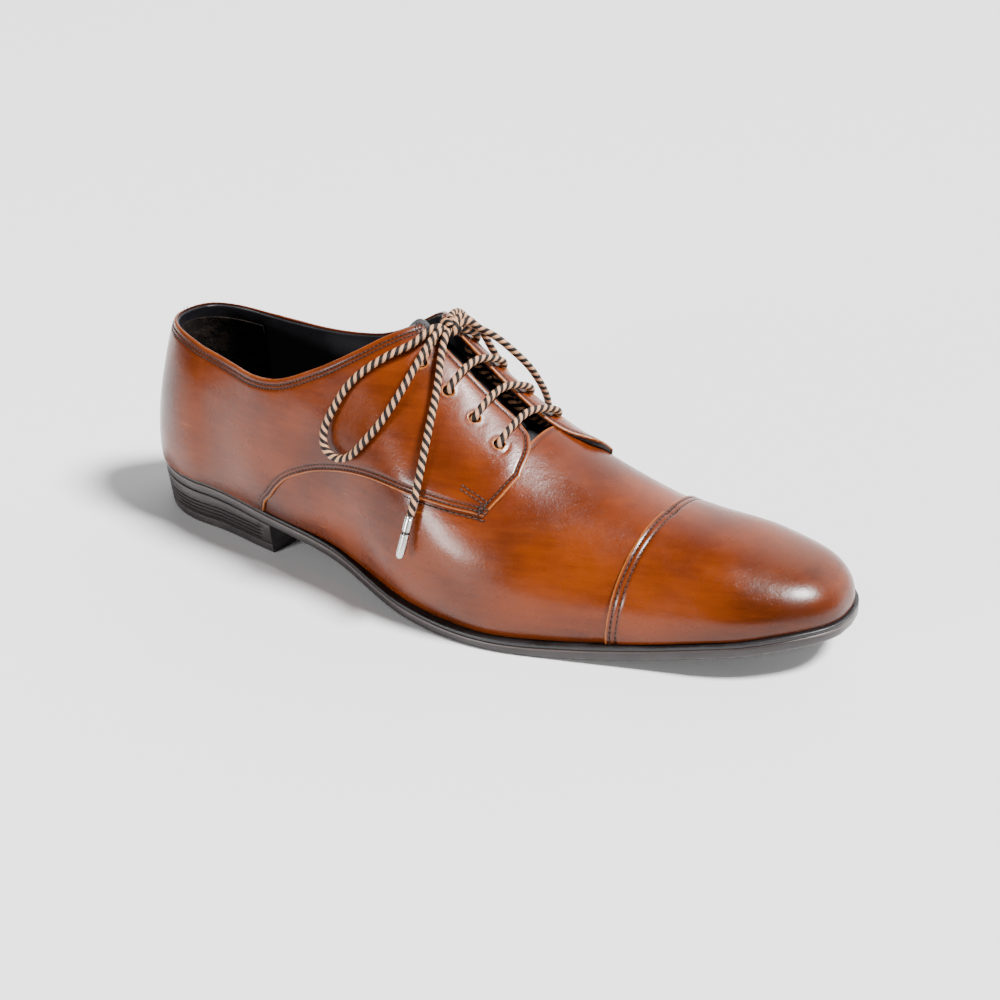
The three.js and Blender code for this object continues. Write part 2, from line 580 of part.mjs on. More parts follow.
// A wing of the vamp under the quarter, whose top follows the quarter's seam.
function wing(side, reach) {
  const stations = [WING_START_X, ...SEAM_STATIONS, ...(side < 0 ? [] : [175]), reach[name(side)]];
  const high = (r) => {
    const x = stationOf(r);
    return x <= SEAM_START_X ? WING_END_U + 0.02 * (x - WING_START_X) : seam(x) + OVERLAP_U;
  };
  const grid = rows(side, stations.map(alongX), () => 0, high, WING_COLUMNS);
  const front = Array.from({ length: WING_COLUMNS + 1 }, (_, j) => {
    const u = j / FORE_COLUMNS;
    return [side * alongX(vampLines[0](side, u)), u];
  });
  return side < 0 ? [front, ...grid] : [...grid, front];
}
const wingReach = { lateral: throat.lateral - 4.5, medial: throat.medial - 5 };
add('vamp', shell([wing(-1, wingReach), wing(1, wingReach),
  ...across([...vampLines, ...vampEnd], FORE_COLUMNS)], LAYER.vamp), FINISH.calf);

const tipStations = [250, 258, 266, 273, 279, 284, 288.5, 292.5, 295.5, 297.7, 299.1, PATTERN.length];
const tipLines = tipStations.map(stationLine);
const foreLines = [...vampLines, ...[224, 233, 242].map(stationLine), ...tipLines];
add('vamp_lining', shell(across(foreLines, 8), LAYER.lining), FINISH.lining);
add('toe_cap', shell(across([capInset(CAP_X), capInset(236), stationLine(243.5), ...tipLines], 8),
  LAYER.outer), FINISH.calf);
add('toe_puff', shell(across([capInset(CAP_X + CAP_OVERLAP + 1), stationLine(244), ...tipLines], 8),
  LAYER.stiffener), FINISH.fibre);

// ---------------------------------------------------------------- tongue
const tongueStations = [121, 127, 134, 142, 150, 158, 166, 174, 180, throat.medial];
const tongueLow = { lateral: 0.72, medial: 0.74 };
function tongue(layer) {
  const stations = tongueStations.map(alongX);
  return shell([-1, 1].map((side) => rows(side, stations, () => tongueLow[name(side)], () => 1, 5)), layer);
}
add('tongue', tongue(LAYER.tongue), FINISH.lining);
add('tongue_lining', tongue(LAYER.tongueLining), FINISH.lining);

// ---------------------------------------------------------------- blind eyelets
for (const side of [-1, 1]) {
  lacePlaces[name(side)].forEach((place, i) => {
    const radius = LACE_HOLE_RADIUS + EYELET_RIM;
    const ring = alongNormal(side, place, radius, GAP / 2, UPPER_LEATHER - GAP, LACE_HOLE_RADIUS);
    add(`eyelet_${name(side)}_${i + 1}`, ring, FINISH.steel);
  });
}

// ---------------------------------------------------------------- lace
// A round cord through a list of points, with a step every so often along it.
function cord(points, radius, step) {
  const path = new THREE.CatmullRomCurve3(points.map((p) => new THREE.Vector3(...p)), false, 'centripetal');
  const steps = Math.round(path.getLength() / step);
  const section = new THREE.Shape(Array.from({ length: 8 }, (_, i) =>
    new THREE.Vector2(radius * Math.cos(i * Math.PI / 4), radius * Math.sin(i * Math.PI / 4))));
  return new THREE.ExtrudeGeometry(section, { steps, extrudePath: path, bevelEnabled: false });
}
const LACE_ON_TOP = LAYER.outer[1] + LACE_RADIUS + GAP;       // centre of a lace that lies on the quarters
const LACE_BELOW = LAYER.lining[0] - LACE_RADIUS - 2 * GAP;      // centre of a lace under the facings

const KNOT_X = 140.6;
const KNOT_SIZE = [4.6, 6.4, 4.2];     // half length, half width and half height of the knot

// The bow's points are chosen for a knot at knotCentre over a seat at knotSeat, and move with the seat.
const knotCentre = [140.6, -7, 102.8];
const knotSeat = new THREE.Vector3(143.27, -3.65, 99.7);
const bowShift = offsetPoint(-alongX(KNOT_X), 1, LACE_ON_TOP).sub(knotSeat);
const withBow = (points) => points.map((p) => new THREE.Vector3(...p).add(bowShift));

// Places on the lace's way at one hole: on top of the facing, in the hole, and under the facing.
function holeWay(side, i, underShift) {
  const [x, u] = lacePlaces[name(side)][i];
  const s = side * alongX(x);
  const top = offsetPoint(s, u + 0.035, LACE_ON_TOP);
  const mouth = offsetPoint(s, u, LAYER.outer[1]);
  const foot = offsetPoint(s, u, LAYER.lining[0]);
  const under = offsetPoint(side * alongX(x + underShift), u, LACE_BELOW);
  return [top, mouth, foot, under];
}

const TO_NEXT = 3;              // how far a hidden run has gone towards its next hole under the facing
const PASS_SHIFT = 0.075;       // how far a hidden run stands aside from the hole that it passes
const barStation = (i) => lacePlaces.lateral[i][0];

// The straight lacing, one lace from the bow through all eight holes and back to the bow.
function lacing() {
  const lateral = (i, shift) => holeWay(-1, i, shift);
  const medial = (i, shift) => holeWay(1, i, shift);
  const out = (way) => [...way].reverse();
  const bar = (x) => [offsetPoint(-alongX(x + 0.8), 0.94, LACE_ON_TOP + 0.4),
    offsetPoint(alongX(x + 3.2), 0.955, LACE_ON_TOP + 0.5)];
  const back = (points) => [...points].reverse();
  const pass = (i, lift) => {
    const [x, u] = lacePlaces.medial[i];
    return offsetPoint(alongX(x), u + lift, LACE_BELOW);
  };
  return [
    ...withBow([[138.3, -13.3, 100.9]]),
    ...lateral(3, TO_NEXT), ...out(lateral(2, -TO_NEXT)), ...bar(barStation(2)), ...medial(2, TO_NEXT),
    pass(1, PASS_SHIFT), ...out(medial(0, -TO_NEXT)), ...back(bar(barStation(0))), ...lateral(0, -TO_NEXT),
    ...out(lateral(1, TO_NEXT)), ...bar(barStation(1)), ...medial(1, -TO_NEXT),
    pass(2, -PASS_SHIFT), ...out(medial(3, TO_NEXT)),
    ...withBow([[141.8, -0.8, 100.4]]),
  ];
}
const LACING_SLIM = 0.96;       // the lacing is drawn a little thinner by its pull
const LACING_STEP = 2.25;      // short enough for the turns at the holes
const BOW_STEP = 3;
add('lace_lacing', cord(lacing(), LACE_RADIUS * LACING_SLIM, LACING_STEP), FINISH.lace);

// The bow: two loops that leave the knot and come back to it, and two tails that end in their aglets.
const loopLateral = withBow([[138.2, -14.8, 104], [134.4, -23.2, 99.9], [127.7, -30.2, 95.9], [120.3, -35.9, 90.1],
  [115, -39.6, 83.8], [110.6, -43.2, 74.8], [108, -45.8, 66.8], [109.4, -47.6, 60.6], [115.2, -48.8, 58],
  [121.6, -48.8, 60.2], [127.9, -47.6, 67.2], [133.8, -44.2, 75.6], [138, -38.8, 84.8], [140.1, -31, 93.4],
  [140.6, -23.2, 99.3], [140.6, -15.4, 102.9]]);
const loopMedial = withBow([[144.2, 1, 103], [146.6, 4.2, 99.9], [151.8, 8.6, 95.6], [156.6, 13, 89.6],
  [160.6, 18.4, 82.2], [162.6, 23.4, 74.4], [163, 28.6, 66], [161.4, 32.4, 58.4], [156.8, 34.6, 53.4],
  [151, 35, 54], [147.4, 33.2, 60.2], [145.6, 29.2, 68.6], [144.4, 24.2, 77.4], [143.6, 18.4, 86],
  [142.2, 12.2, 95.6], [140.2, 6, 101.8], [139.6, 1.8, 104]]);
const tailLateral = withBow([[143.2, -14, 101.8], [144.6, -18.8, 97.4], [146.9, -24, 92.4], [148.9, -28.8, 87.2],
  [150.4, -33.4, 82], [151.6, -37.8, 77.1], [152.6, -41.6, 72.2], [153.3, -45, 67.2], [153.9, -48.2, 62],
  [154.2, -51.1, 56.4], [154.1, -53.3, 51.4], [153.6, -55.1, 46.3]]);
const tailMedial = withBow([[136.6, 0.2, 104.4], [135, 7, 103.4], [133.6, 13.6, 99.4], [132.4, 19.8, 92.6],
  [131.2, 24.9, 84.8], [130, 28.8, 76], [128.9, 31.6, 68.6], [128.3, 33.2, 61.4], [128.1, 34.2, 54.4],
  [128.2, 34.9, 47.4]]);

add('lace_loop_lateral', cord(loopLateral, LACE_RADIUS, BOW_STEP), FINISH.lace);
add('lace_loop_medial', cord(loopMedial, LACE_RADIUS, BOW_STEP), FINISH.lace);
add('lace_tail_lateral', cord(tailLateral, LACE_RADIUS, BOW_STEP), FINISH.lace);
add('lace_tail_medial', cord(tailMedial, LACE_RADIUS, BOW_STEP), FINISH.lace);

// A metal lace end in line with the last stretch of its tail.
function aglet(tail) {
  const end = tail[tail.length - 1];
  const direction = end.clone().sub(tail[tail.length - 2]).normalize();
  const profile = [[0, 0], [AGLET_RADIUS, 0], [AGLET_RADIUS, AGLET_LENGTH - AGLET_ROUND],
    [AGLET_RADIUS - AGLET_ROUND, AGLET_LENGTH], [0, AGLET_LENGTH]];
  const turn = new THREE.Quaternion().setFromUnitVectors(new THREE.Vector3(0, 1, 0), direction);
  const start = end.clone().addScaledVector(direction, GAP);
  return new THREE.LatheGeometry(profile.map(([r, z]) => new THREE.Vector2(r, z)), 10)
    .applyQuaternion(turn).translate(start.x, start.y, start.z);
}
add('aglet_lateral', aglet(tailLateral), FINISH.silver);
add('aglet_medial', aglet(tailMedial), FINISH.silver);

add('lace_knot', new THREE.SphereGeometry(1, 14, 9).rotateX(Math.PI / 2).scale(...KNOT_SIZE)
  .translate(...withBow([knotCentre])[0].toArray()), FINISH.lace);

// The origin is the middle of the shoe's footprint on the ground, found without the free lace.
const part = new THREE.Group();
part.add(shoe);
const footprint = new THREE.Box3();
const still = shoe.children.filter((mesh) => !/^(lace|aglet)_/.test(mesh.name));
still.forEach((mesh) => footprint.expandByObject(mesh));
const middle = footprint.getCenter(new THREE.Vector3());
shoe.position.set(-middle.x, -middle.y, -footprint.min.z);

export default part;
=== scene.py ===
"""A right-foot cap-toe derby shoe in polished calf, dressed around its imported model.

Every panel of the upper is an offset of one last surface. The last is drawn here in the shoe's own
millimetres, x from behind the heel to the toe and the lateral side at negative y, and is moved into the
frame by one shift that is read from a heel nail.
"""

import logging
import math
from dataclasses import dataclass, field
from enum import Enum
from typing import Callable, Sequence

import bmesh
import bpy
import numpy as np
from mathutils import Matrix, Vector


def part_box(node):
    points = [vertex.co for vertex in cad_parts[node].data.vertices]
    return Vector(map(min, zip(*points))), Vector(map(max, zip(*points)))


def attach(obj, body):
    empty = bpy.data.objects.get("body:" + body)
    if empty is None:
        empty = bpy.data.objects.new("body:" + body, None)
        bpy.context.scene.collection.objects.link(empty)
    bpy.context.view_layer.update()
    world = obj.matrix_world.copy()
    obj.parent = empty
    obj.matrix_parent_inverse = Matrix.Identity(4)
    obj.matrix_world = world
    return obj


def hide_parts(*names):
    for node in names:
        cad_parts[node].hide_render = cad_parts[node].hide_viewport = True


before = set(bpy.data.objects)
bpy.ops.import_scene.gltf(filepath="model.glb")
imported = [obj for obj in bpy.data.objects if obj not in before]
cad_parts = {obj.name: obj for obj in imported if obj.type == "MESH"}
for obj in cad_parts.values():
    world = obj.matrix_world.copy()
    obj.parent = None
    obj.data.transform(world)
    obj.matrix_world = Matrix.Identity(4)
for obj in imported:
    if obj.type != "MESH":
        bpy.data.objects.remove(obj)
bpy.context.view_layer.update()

log = logging.getLogger("derby_shoe")
MM = 0.001
Array = np.ndarray
Curve = Callable[[Array], Array]
Object, Material = bpy.types.Object, bpy.types.Material
Tree, Node, Socket = bpy.types.NodeTree, bpy.types.Node, bpy.types.NodeSocket


class Side(Enum):
    """The two sides of the shoe, as the sign of their perimeter."""

    LATERAL = -1
    MEDIAL = 1

    @property
    def label(self) -> str:
        """The side's name as it stands in node names."""
        return self.name.lower()


LATERAL, MEDIAL = Side.LATERAL, Side.MEDIAL


class Body(Enum):
    """The bodies that pieces ride on."""

    SHOE = "shoe_body"
    TONGUE = "tongue_flap"


# ------------------------------------------------------------------ small mathematics
def table(*points: tuple[float, float]) -> Curve:
    """A smooth curve through a few points, flat past its ends.

    Args:
        points: pairs of a place and the value there.

    Returns:
        A function that gives the value at every place of an array.
    """
    x, y = np.array(points, float).T
    h, rise = np.diff(x), np.diff(y) / np.diff(x)
    slope = np.zeros(len(x))
    slope[1:-1] = (rise[:-1] * h[1:] + rise[1:] * h[:-1]) / (h[:-1] + h[1:])

    def value(at: Array) -> Array:
        """The curve's value at each place."""
        at = np.clip(np.asarray(at, float), x[0], x[-1])
        i = np.clip(np.searchsorted(x, at, side="right") - 1, 0, len(x) - 2)
        t = (at - x[i]) / h[i]
        t2, t3 = t * t, t * t * t
        return ((2 * t3 - 3 * t2 + 1) * y[i] + (t3 - 2 * t2 + t) * h[i] * slope[i]
                + (3 * t2 - 2 * t3) * y[i + 1] + (t3 - t2) * h[i] * slope[i + 1])

    return value


def smoothstep(low: float, high: float, x: Array) -> Array:
    """A soft step from 0 at low to 1 at high."""
    t = np.clip((np.asarray(x, float) - low) / (high - low), 0, 1)
    return t * t * (3 - 2 * t)


def unit(v: Array) -> Array:
    """Vectors scaled to length 1."""
    return v / np.maximum(np.linalg.norm(v, axis=-1, keepdims=True), 1e-12)


def catmull_rom(points: Array, spacing: float) -> Array:
    """A centripetal Catmull-Rom curve sampled evenly.

    Args:
        points: the points that the curve passes through.
        spacing: the distance between samples.

    Returns:
        The samples, from the first point to the last.
    """
    p = np.asarray(points, float)
    p = np.vstack([2 * p[0] - p[1], p, 2 * p[-1] - p[-2]])
    dense = []
    for a, b, c, d in zip(p, p[1:], p[2:], p[3:]):
        t0 = 0.0
        t1 = t0 + math.sqrt(np.linalg.norm(b - a))
        t2 = t1 + math.sqrt(np.linalg.norm(c - b))
        t3 = t2 + math.sqrt(np.linalg.norm(d - c))
        t = np.linspace(t1, t2, 24, endpoint=False)[:, None]
        a1 = (t1 - t) / (t1 - t0) * a + (t - t0) / (t1 - t0) * b
        a2 = (t2 - t) / (t2 - t1) * b + (t - t1) / (t2 - t1) * c
        a3 = (t3 - t) / (t3 - t2) * c + (t - t2) / (t3 - t2) * d
        b1 = (t2 - t) / (t2 - t0) * a1 + (t - t0) / (t2 - t0) * a2
        b2 = (t3 - t) / (t3 - t1) * a2 + (t - t1) / (t3 - t1) * a3
        dense.append((t2 - t) / (t2 - t1) * b1 + (t - t1) / (t2 - t1) * b2)
    return resample(np.vstack([*dense, p[-2:-1]]), spacing)


def resample(line: Array, spacing: float) -> Array:
    """A polyline sampled evenly along its length, ends kept."""
    run = np.concatenate([[0], np.cumsum(np.linalg.norm(np.diff(line, axis=0), axis=1))])
    at = np.linspace(0, run[-1], max(2, round(run[-1] / spacing) + 1))
    return np.stack([np.interp(at, run, line[:, k]) for k in range(line.shape[1])], axis=1)


def nearest(points: Array, line: Array) -> Array:
    """Distance from each point to the nearest sample of a line.

    Args:
        points: an array whose last axis is a place.
        line: closely sampled places.

    Returns:
        The distances, in the shape of the points.
    """
    flat = points.reshape(-1, 3)
    best = np.empty(len(flat))
    for start in range(0, len(flat), 4000):
        part = flat[start:start + 4000]
        square = (part ** 2).sum(1)[:, None] + (line ** 2).sum(1)[None] - 2 * part @ line.T
        best[start:start + 4000] = np.sqrt(np.maximum(square.min(1), 0))
    return best.reshape(points.shape[:-1])


# ------------------------------------------------------------------ the last
@dataclass(frozen=True)
class Last:
    """The last that the upper and the sole are drawn on.

    A place on it is a signed perimeter s, lateral negative, and a profile position u from 0 at the feather
    line to 1 at the ridge.
    """

    length: float = 300.0
    heel_centre: float = 33.0
    heel_arc: float = 52.0
    toe_round: tuple[float, float] = (262.0, 2.3)
    tip_round: tuple[float, float] = (272.0, 2.4)
    gap: float = 0.3
    sole_stack: float = 5.6
    level_foot: float = 0.12
    heel_back: tuple[float, ...] = (39, 39, 34.5, 25.5, 23)
    centre: Curve = table((33, 0), (90, -5), (150, -11), (200, -5.5), (250, 1.5), (300, 8.5))
    rise: Curve = table((0, 15.9), (33, 15.4), (70, 13.4), (100, 9.4), (130, 4.4), (160, 0.3), (200, -0.2),
                        (240, 3.7), (270, 9.2), (300, 13.7))
    lateral_width: Curve = table((33, 32), (70, 34.5), (110, 32.5), (150, 40), (190, 45), (215, 40.5),
                                 (250, 34), (280, 30), (300, 27))
    medial_width: Curve = table((33, 31), (70, 29.5), (110, 27.5), (150, 31.5), (190, 40.5), (215, 41.5),
                                (250, 37), (280, 31.5), (300, 27))
    ridge: Curve = table((33, 82), (70, 89), (100, 99), (120, 97), (140, 87.5), (170, 69), (200, 51),
                         (230, 37), (260, 27), (285, 17), (300, 15))
    lean: Curve = table((33, 0), (70, 0), (100, 2.5), (125, 6.5), (165, 6.5), (200, 3.5), (240, 0))
    lower_swell: Curve = table((33, 5), (70, 7), (110, 9), (150, 8), (190, 5), (240, 3), (270, 2.5), (300, 2))
    upper_swell: Curve = table((33, -2), (70, 0), (110, 4), (150, 3), (190, 1), (240, -1), (300, -1))
    crown: Curve = table((33, 16), (70, 22), (110, 20), (140, 17), (170, 17), (200, 18), (240, 16), (300, 13))
    open_top: Curve = table((33, 12), (60, 15), (85, 8), (110, 0))
    lower_rise: Curve = table((33, 0.22), (110, 0.22), (190, 0.24), (300, 0.28))
    upper_rise: Curve = table((33, 0.66), (70, 0.7), (110, 0.7), (150, 0.76), (190, 0.8), (240, 0.84),
                              (300, 0.86))
    crown_rise: Curve = table((33, 0.86), (90, 0.95), (120, 1))

    @property
    def reach(self) -> float:
        """Perimeter from the heel's back to the toe tip."""
        return self.along(self.length)

    @property
    def tread(self) -> float:
        """Height of the last's foot at the tread."""
        return self.sole_stack + self.gap

    def along(self, x: Array) -> Array:
        """Perimeter of a station ahead of the heel fan."""
        return self.heel_arc + x - self.heel_centre

    def station(self, run: Array) -> Array:
        """Station of a perimeter."""
        return self.heel_centre + run - self.heel_arc

    def feather(self, x: Array) -> Array:
        """Height of the feather line at a station."""
        return self.sole_stack + self.rise(x)

    def point(self, s: Array, u: Array) -> Array:
        """Places on the last.

        Args:
            s: signed perimeters.
            u: profile positions.

        Returns:
            Points in the shoe's millimetres.
        """
        s, u = np.broadcast_arrays(np.asarray(s, float), np.asarray(u, float))
        side, run = np.where(s < 0, -1.0, 1.0), np.abs(s)
        x = np.maximum(self.heel_centre, self.station(run))
        turn = np.clip(run / self.heel_arc, 0, 1) * math.pi / 2
        fan = run < self.heel_arc
        closing = [(1 - np.clip((x - start) / (self.length - start), 0, 1) ** power) ** (1 / power)
                   for start, power in (self.toe_round, self.tip_round)]
        round_, height = closing[0], self.ridge(x) * closing[1]
        width = np.where(side < 0, self.lateral_width(x), self.medial_width(x)) * round_
        lean = self.lean(x) * round_ * side
        radii = [width, width + self.lower_swell(x) * round_,
                 width + self.upper_swell(x) * round_ + 0.1 * lean,
                 self.crown(x) * round_ + 0.8 * lean, self.open_top(x) * round_ + lean]
        rises = [0 * x, self.lower_rise(x), self.upper_rise(x), self.crown_rise(x), 1 + 0 * x]
        radius, rise = 0, 0
        for k, count in enumerate((1, 4, 6, 4, 1)):
            share = count * u ** k * (1 - u) ** (4 - k)
            back = 1 / np.hypot(np.cos(turn) / self.heel_back[k], np.sin(turn) / np.maximum(radii[k], 1e-6))
            radius = radius + share * np.where(fan, back, radii[k])
            rise = rise + share * rises[k] * height
        first = 1 / np.hypot(np.cos(turn) / self.heel_back[0], np.sin(turn) / np.maximum(radii[0], 1e-6))
        foot = np.where(fan, self.heel_centre - first * np.cos(turn), x)
        return np.stack([np.where(fan, self.heel_centre - radius * np.cos(turn), x),
                         self.centre(x) + side * radius * np.where(fan, np.sin(turn), 1),
                         self.feather(foot) + self.gap + rise], axis=-1)

    def normal(self, s: Array, u: Array) -> Array:
        """Outward directions of the last, level at the feather line.

        Args:
            s: signed perimeters.
            u: profile positions.

        Returns:
            Unit vectors.
        """
        s, u = np.broadcast_arrays(np.asarray(s, float), np.asarray(u, float))
        left = self.reach - np.abs(s)
        ds = np.minimum(0.4, np.maximum(left, 0.02) * 0.4)
        ends = self.point(s + ds, u) - self.point(s - ds, u)
        up = self.point(s, np.minimum(1, u + 0.01)) - self.point(s, np.maximum(0, u - 0.01))
        n = unit(np.cross(up, ends))
        n[..., 2] *= np.clip(u / self.level_foot, 0, 1)
        n[left < 0.05] = (1, 0, 0)
        return unit(n)

    def offset(self, s: Array, u: Array, out: Array) -> Array:
        """Points at a signed distance from the last; both sides share the lateral side's ridge."""
        s, u, out = np.broadcast_arrays(np.asarray(s, float), np.asarray(u, float), np.asarray(out, float))
        at = np.where(u >= 1, -np.abs(s), s)
        return self.point(at, u) + self.normal(at, u) * out[..., None]

    def spot(self, side: Side, x: float, u: float, out: float) -> Array:
        """One place at a station, a profile position and an offset."""
        return self.offset(side.value * self.along(x), u, out)

    def profile_at(self, s: Array, rise: Array, drop: float = 0.0) -> Array:
        """Profile positions where the wall reaches a rise above the tread, less a drop."""
        z = self.tread + np.asarray(rise, float) - drop
        low, high = np.zeros(np.shape(s)), np.ones(np.shape(s))
        for _ in range(24):
            mid = (low + high) / 2
            under = self.point(s, mid)[..., 2] < z
            low, high = np.where(under, mid, low), np.where(under, high, mid)
        return (low + high) / 2

    def outline(self, run: Array, side: float, out: Array) -> Array:
        """Feather line moved out level by an amount."""
        s = side * np.asarray(run, float)
        return self.point(s, 0) + self.normal(s, 0) * np.asarray(out, float)[..., None]


LAST = Last()
TOE_START = 262.0


def toward_tip(count: int) -> Array:
    """Stations from where the toe begins to its tip, closer together at the tip."""
    return LAST.length - (LAST.length - TOE_START) * (1 - np.linspace(0, 1, count)) ** 2.2


def circle_across(axis: Array, count: int) -> Array:
    """Points of a circle of radius 1 across an axis."""
    first = unit(np.cross(axis, (0, 0, 1)))
    second = np.cross(axis, first)
    turn = np.arange(count) * 2 * math.pi / count
    return np.cos(turn)[:, None] * first + np.sin(turn)[:, None] * second


def joined(lateral: Array, medial: Array) -> Array:
    """One grid over the ridge from the two sides' grids, which share their last column."""
    return np.hstack([lateral, medial[:, -2::-1]])


def rounding(distance: Array, radius: float) -> Array:
    """How far a rounded edge falls away at each distance from its rim."""
    inside = np.maximum(radius - distance, 0)
    return radius - np.sqrt(np.maximum(radius ** 2 - inside ** 2, 0))


def frame_shift() -> Array:
    """The shift from the shoe's millimetres to the frame, read from the rear heel nail at (6, 0)."""
    low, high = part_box("heel_nail_1")
    centre = (low + high) / 2 / MM
    return np.array([centre.x - 6, centre.y, 0.0])


SHIFT = frame_shift()


def to_frame(points: Array) -> Array:
    """The shoe's millimetres as metres in the frame."""
    return (np.asarray(points, float) + SHIFT) * MM


# ------------------------------------------------------------------ meshes
def placed(name: str, data: bpy.types.ID) -> Object:
    """A new object in the scene."""
    obj = bpy.data.objects.new(name, data)
    bpy.context.scene.collection.objects.link(obj)
    return obj


def new_mesh(name: str, points: Array, faces: Sequence[Sequence[int]],
             smooth_angle: float = 40.0) -> Object:
    """An object from points in the shoe's millimetres.

    Args:
        name: the piece's name.
        points: its vertices.
        faces: vertex numbers of each face.
        smooth_angle: edges sharper than this, in degrees, stay sharp.

    Returns:
        The object, at the origin, with doubles merged and faces outward.
    """
    mesh = bpy.data.meshes.new(name)
    mesh.from_pydata(to_frame(points).tolist(), [], [list(map(int, f)) for f in faces])
    obj = placed(name, mesh)
    tidy_mesh(obj, smooth_angle)
    return obj


def tidy_mesh(obj: Object, smooth_angle: float) -> None:
    """Merges doubles, turns faces outward and shades smooth up to an angle."""
    bm = bmesh.new()
    bm.from_mesh(obj.data)
    bmesh.ops.remove_doubles(bm, verts=bm.verts, dist=4e-6)
    bmesh.ops.dissolve_degenerate(bm, dist=2e-6, edges=bm.edges)
    bmesh.ops.recalc_face_normals(bm, faces=bm.faces)
    if bm.calc_volume(signed=True) < 0:
        bmesh.ops.reverse_faces(bm, faces=bm.faces)
    bm.to_mesh(obj.data)
    bm.free()
    obj.data.shade_smooth()
    obj.data.set_sharp_from_angle(angle=math.radians(smooth_angle))


def set_attribute(obj: Object, name: str, values: Array) -> None:
    """Stores one number per vertex under a name."""
    attribute = obj.data.attributes.new(name, "FLOAT", "POINT")
    attribute.data.foreach_set("value", np.asarray(values, np.float32))


def vertices_mm(obj: Object) -> Array:
    """The vertices of an object in the shoe's millimetres."""
    co = np.empty(len(obj.data.vertices) * 3, np.float32)
    obj.data.vertices.foreach_get("co", co)
    return co.reshape(-1, 3).astype(float) / MM - SHIFT


def shell(name: str, s: Array, u: Array, inner: Array, outer: Array,
          valid: Array | None = None) -> Object:
    """A closed leather shell between two offsets of the last.

    Args:
        name: the piece's name.
        s: signed perimeters of a grid.
        u: profile positions of the grid.
        inner: offset of the inner face at each grid place.
        outer: offset of the outer face at each grid place.
        valid: which grid places exist; all of them by default.

    Returns:
        The shell.
    """
    rows, columns = s.shape
    valid = np.ones(s.shape, bool) if valid is None else valid
    index = np.arange(rows * columns).reshape(rows, columns)
    whole = valid[:-1, :-1] & valid[1:, :-1] & valid[1:, 1:] & valid[:-1, 1:]
    quads = np.stack([index[:-1, :-1], index[1:, :-1], index[1:, 1:], index[:-1, 1:]], axis=-1)[whole]
    count = rows * columns
    edges = np.concatenate([quads[:, [k, (k + 1) % 4]] for k in range(4)])
    keys = np.sort(edges, axis=1)
    _, first, times = np.unique(keys[:, 0] * count + keys[:, 1], return_index=True, return_counts=True)
    rim = edges[first[times == 1]]
    walls = np.column_stack([rim[:, 1], rim[:, 0], rim[:, 0] + count, rim[:, 1] + count])
    faces = np.vstack([quads, quads[:, ::-1] + count, walls])
    points = np.vstack([LAST.offset(s, u, outer).reshape(-1, 3), LAST.offset(s, u, inner).reshape(-1, 3)])
    used = np.unique(faces)
    renumber = np.zeros(2 * count, int)
    renumber[used] = np.arange(len(used))
    return new_mesh(name, points[used], renumber[faces])


def loft(name: str, rings: Array, closed: bool = False, smooth_angle: float = 40.0) -> Object:
    """A body through a row of rings of equal length, with flat ends, or closed on itself.

    Args:
        name: the piece's name.
        rings: points by ring and by place in the ring.
        closed: whether the last ring joins the first.
        smooth_angle: as for new_mesh.

    Returns:
        The body.
    """
    count, around = rings.shape[:2]
    index = np.arange(count * around).reshape(count, around)
    after = np.roll(index, -1, axis=0)
    spans = slice(None) if closed else slice(0, count - 1)
    a, d = index[spans], after[spans]
    quads = np.stack([a, np.roll(a, -1, axis=1), np.roll(d, -1, axis=1), d], axis=-1).reshape(-1, 4)
    faces = [list(q) for q in quads]
    if not closed:
        faces += [list(index[0][::-1]), list(index[-1])]
    return new_mesh(name, rings.reshape(-1, 3), faces, smooth_angle)


def finished(obj: Object, material: Material, body: Body = Body.SHOE,
             replaces: Sequence[str] = ()) -> Object:
    """Dresses a piece and hands it to the frame.

    Args:
        obj: the piece.
        material: its finish.
        body: the body that it rides on.
        replaces: the CAD nodes that it stands for.

    Returns:
        The piece.
    """
    if not obj.data.materials:
        obj.data.materials.append(material)
    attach(obj, body.value)
    if replaces:
        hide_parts(*replaces)
    log.info("%s: %d faces", obj.name, len(obj.data.polygons))
    return obj


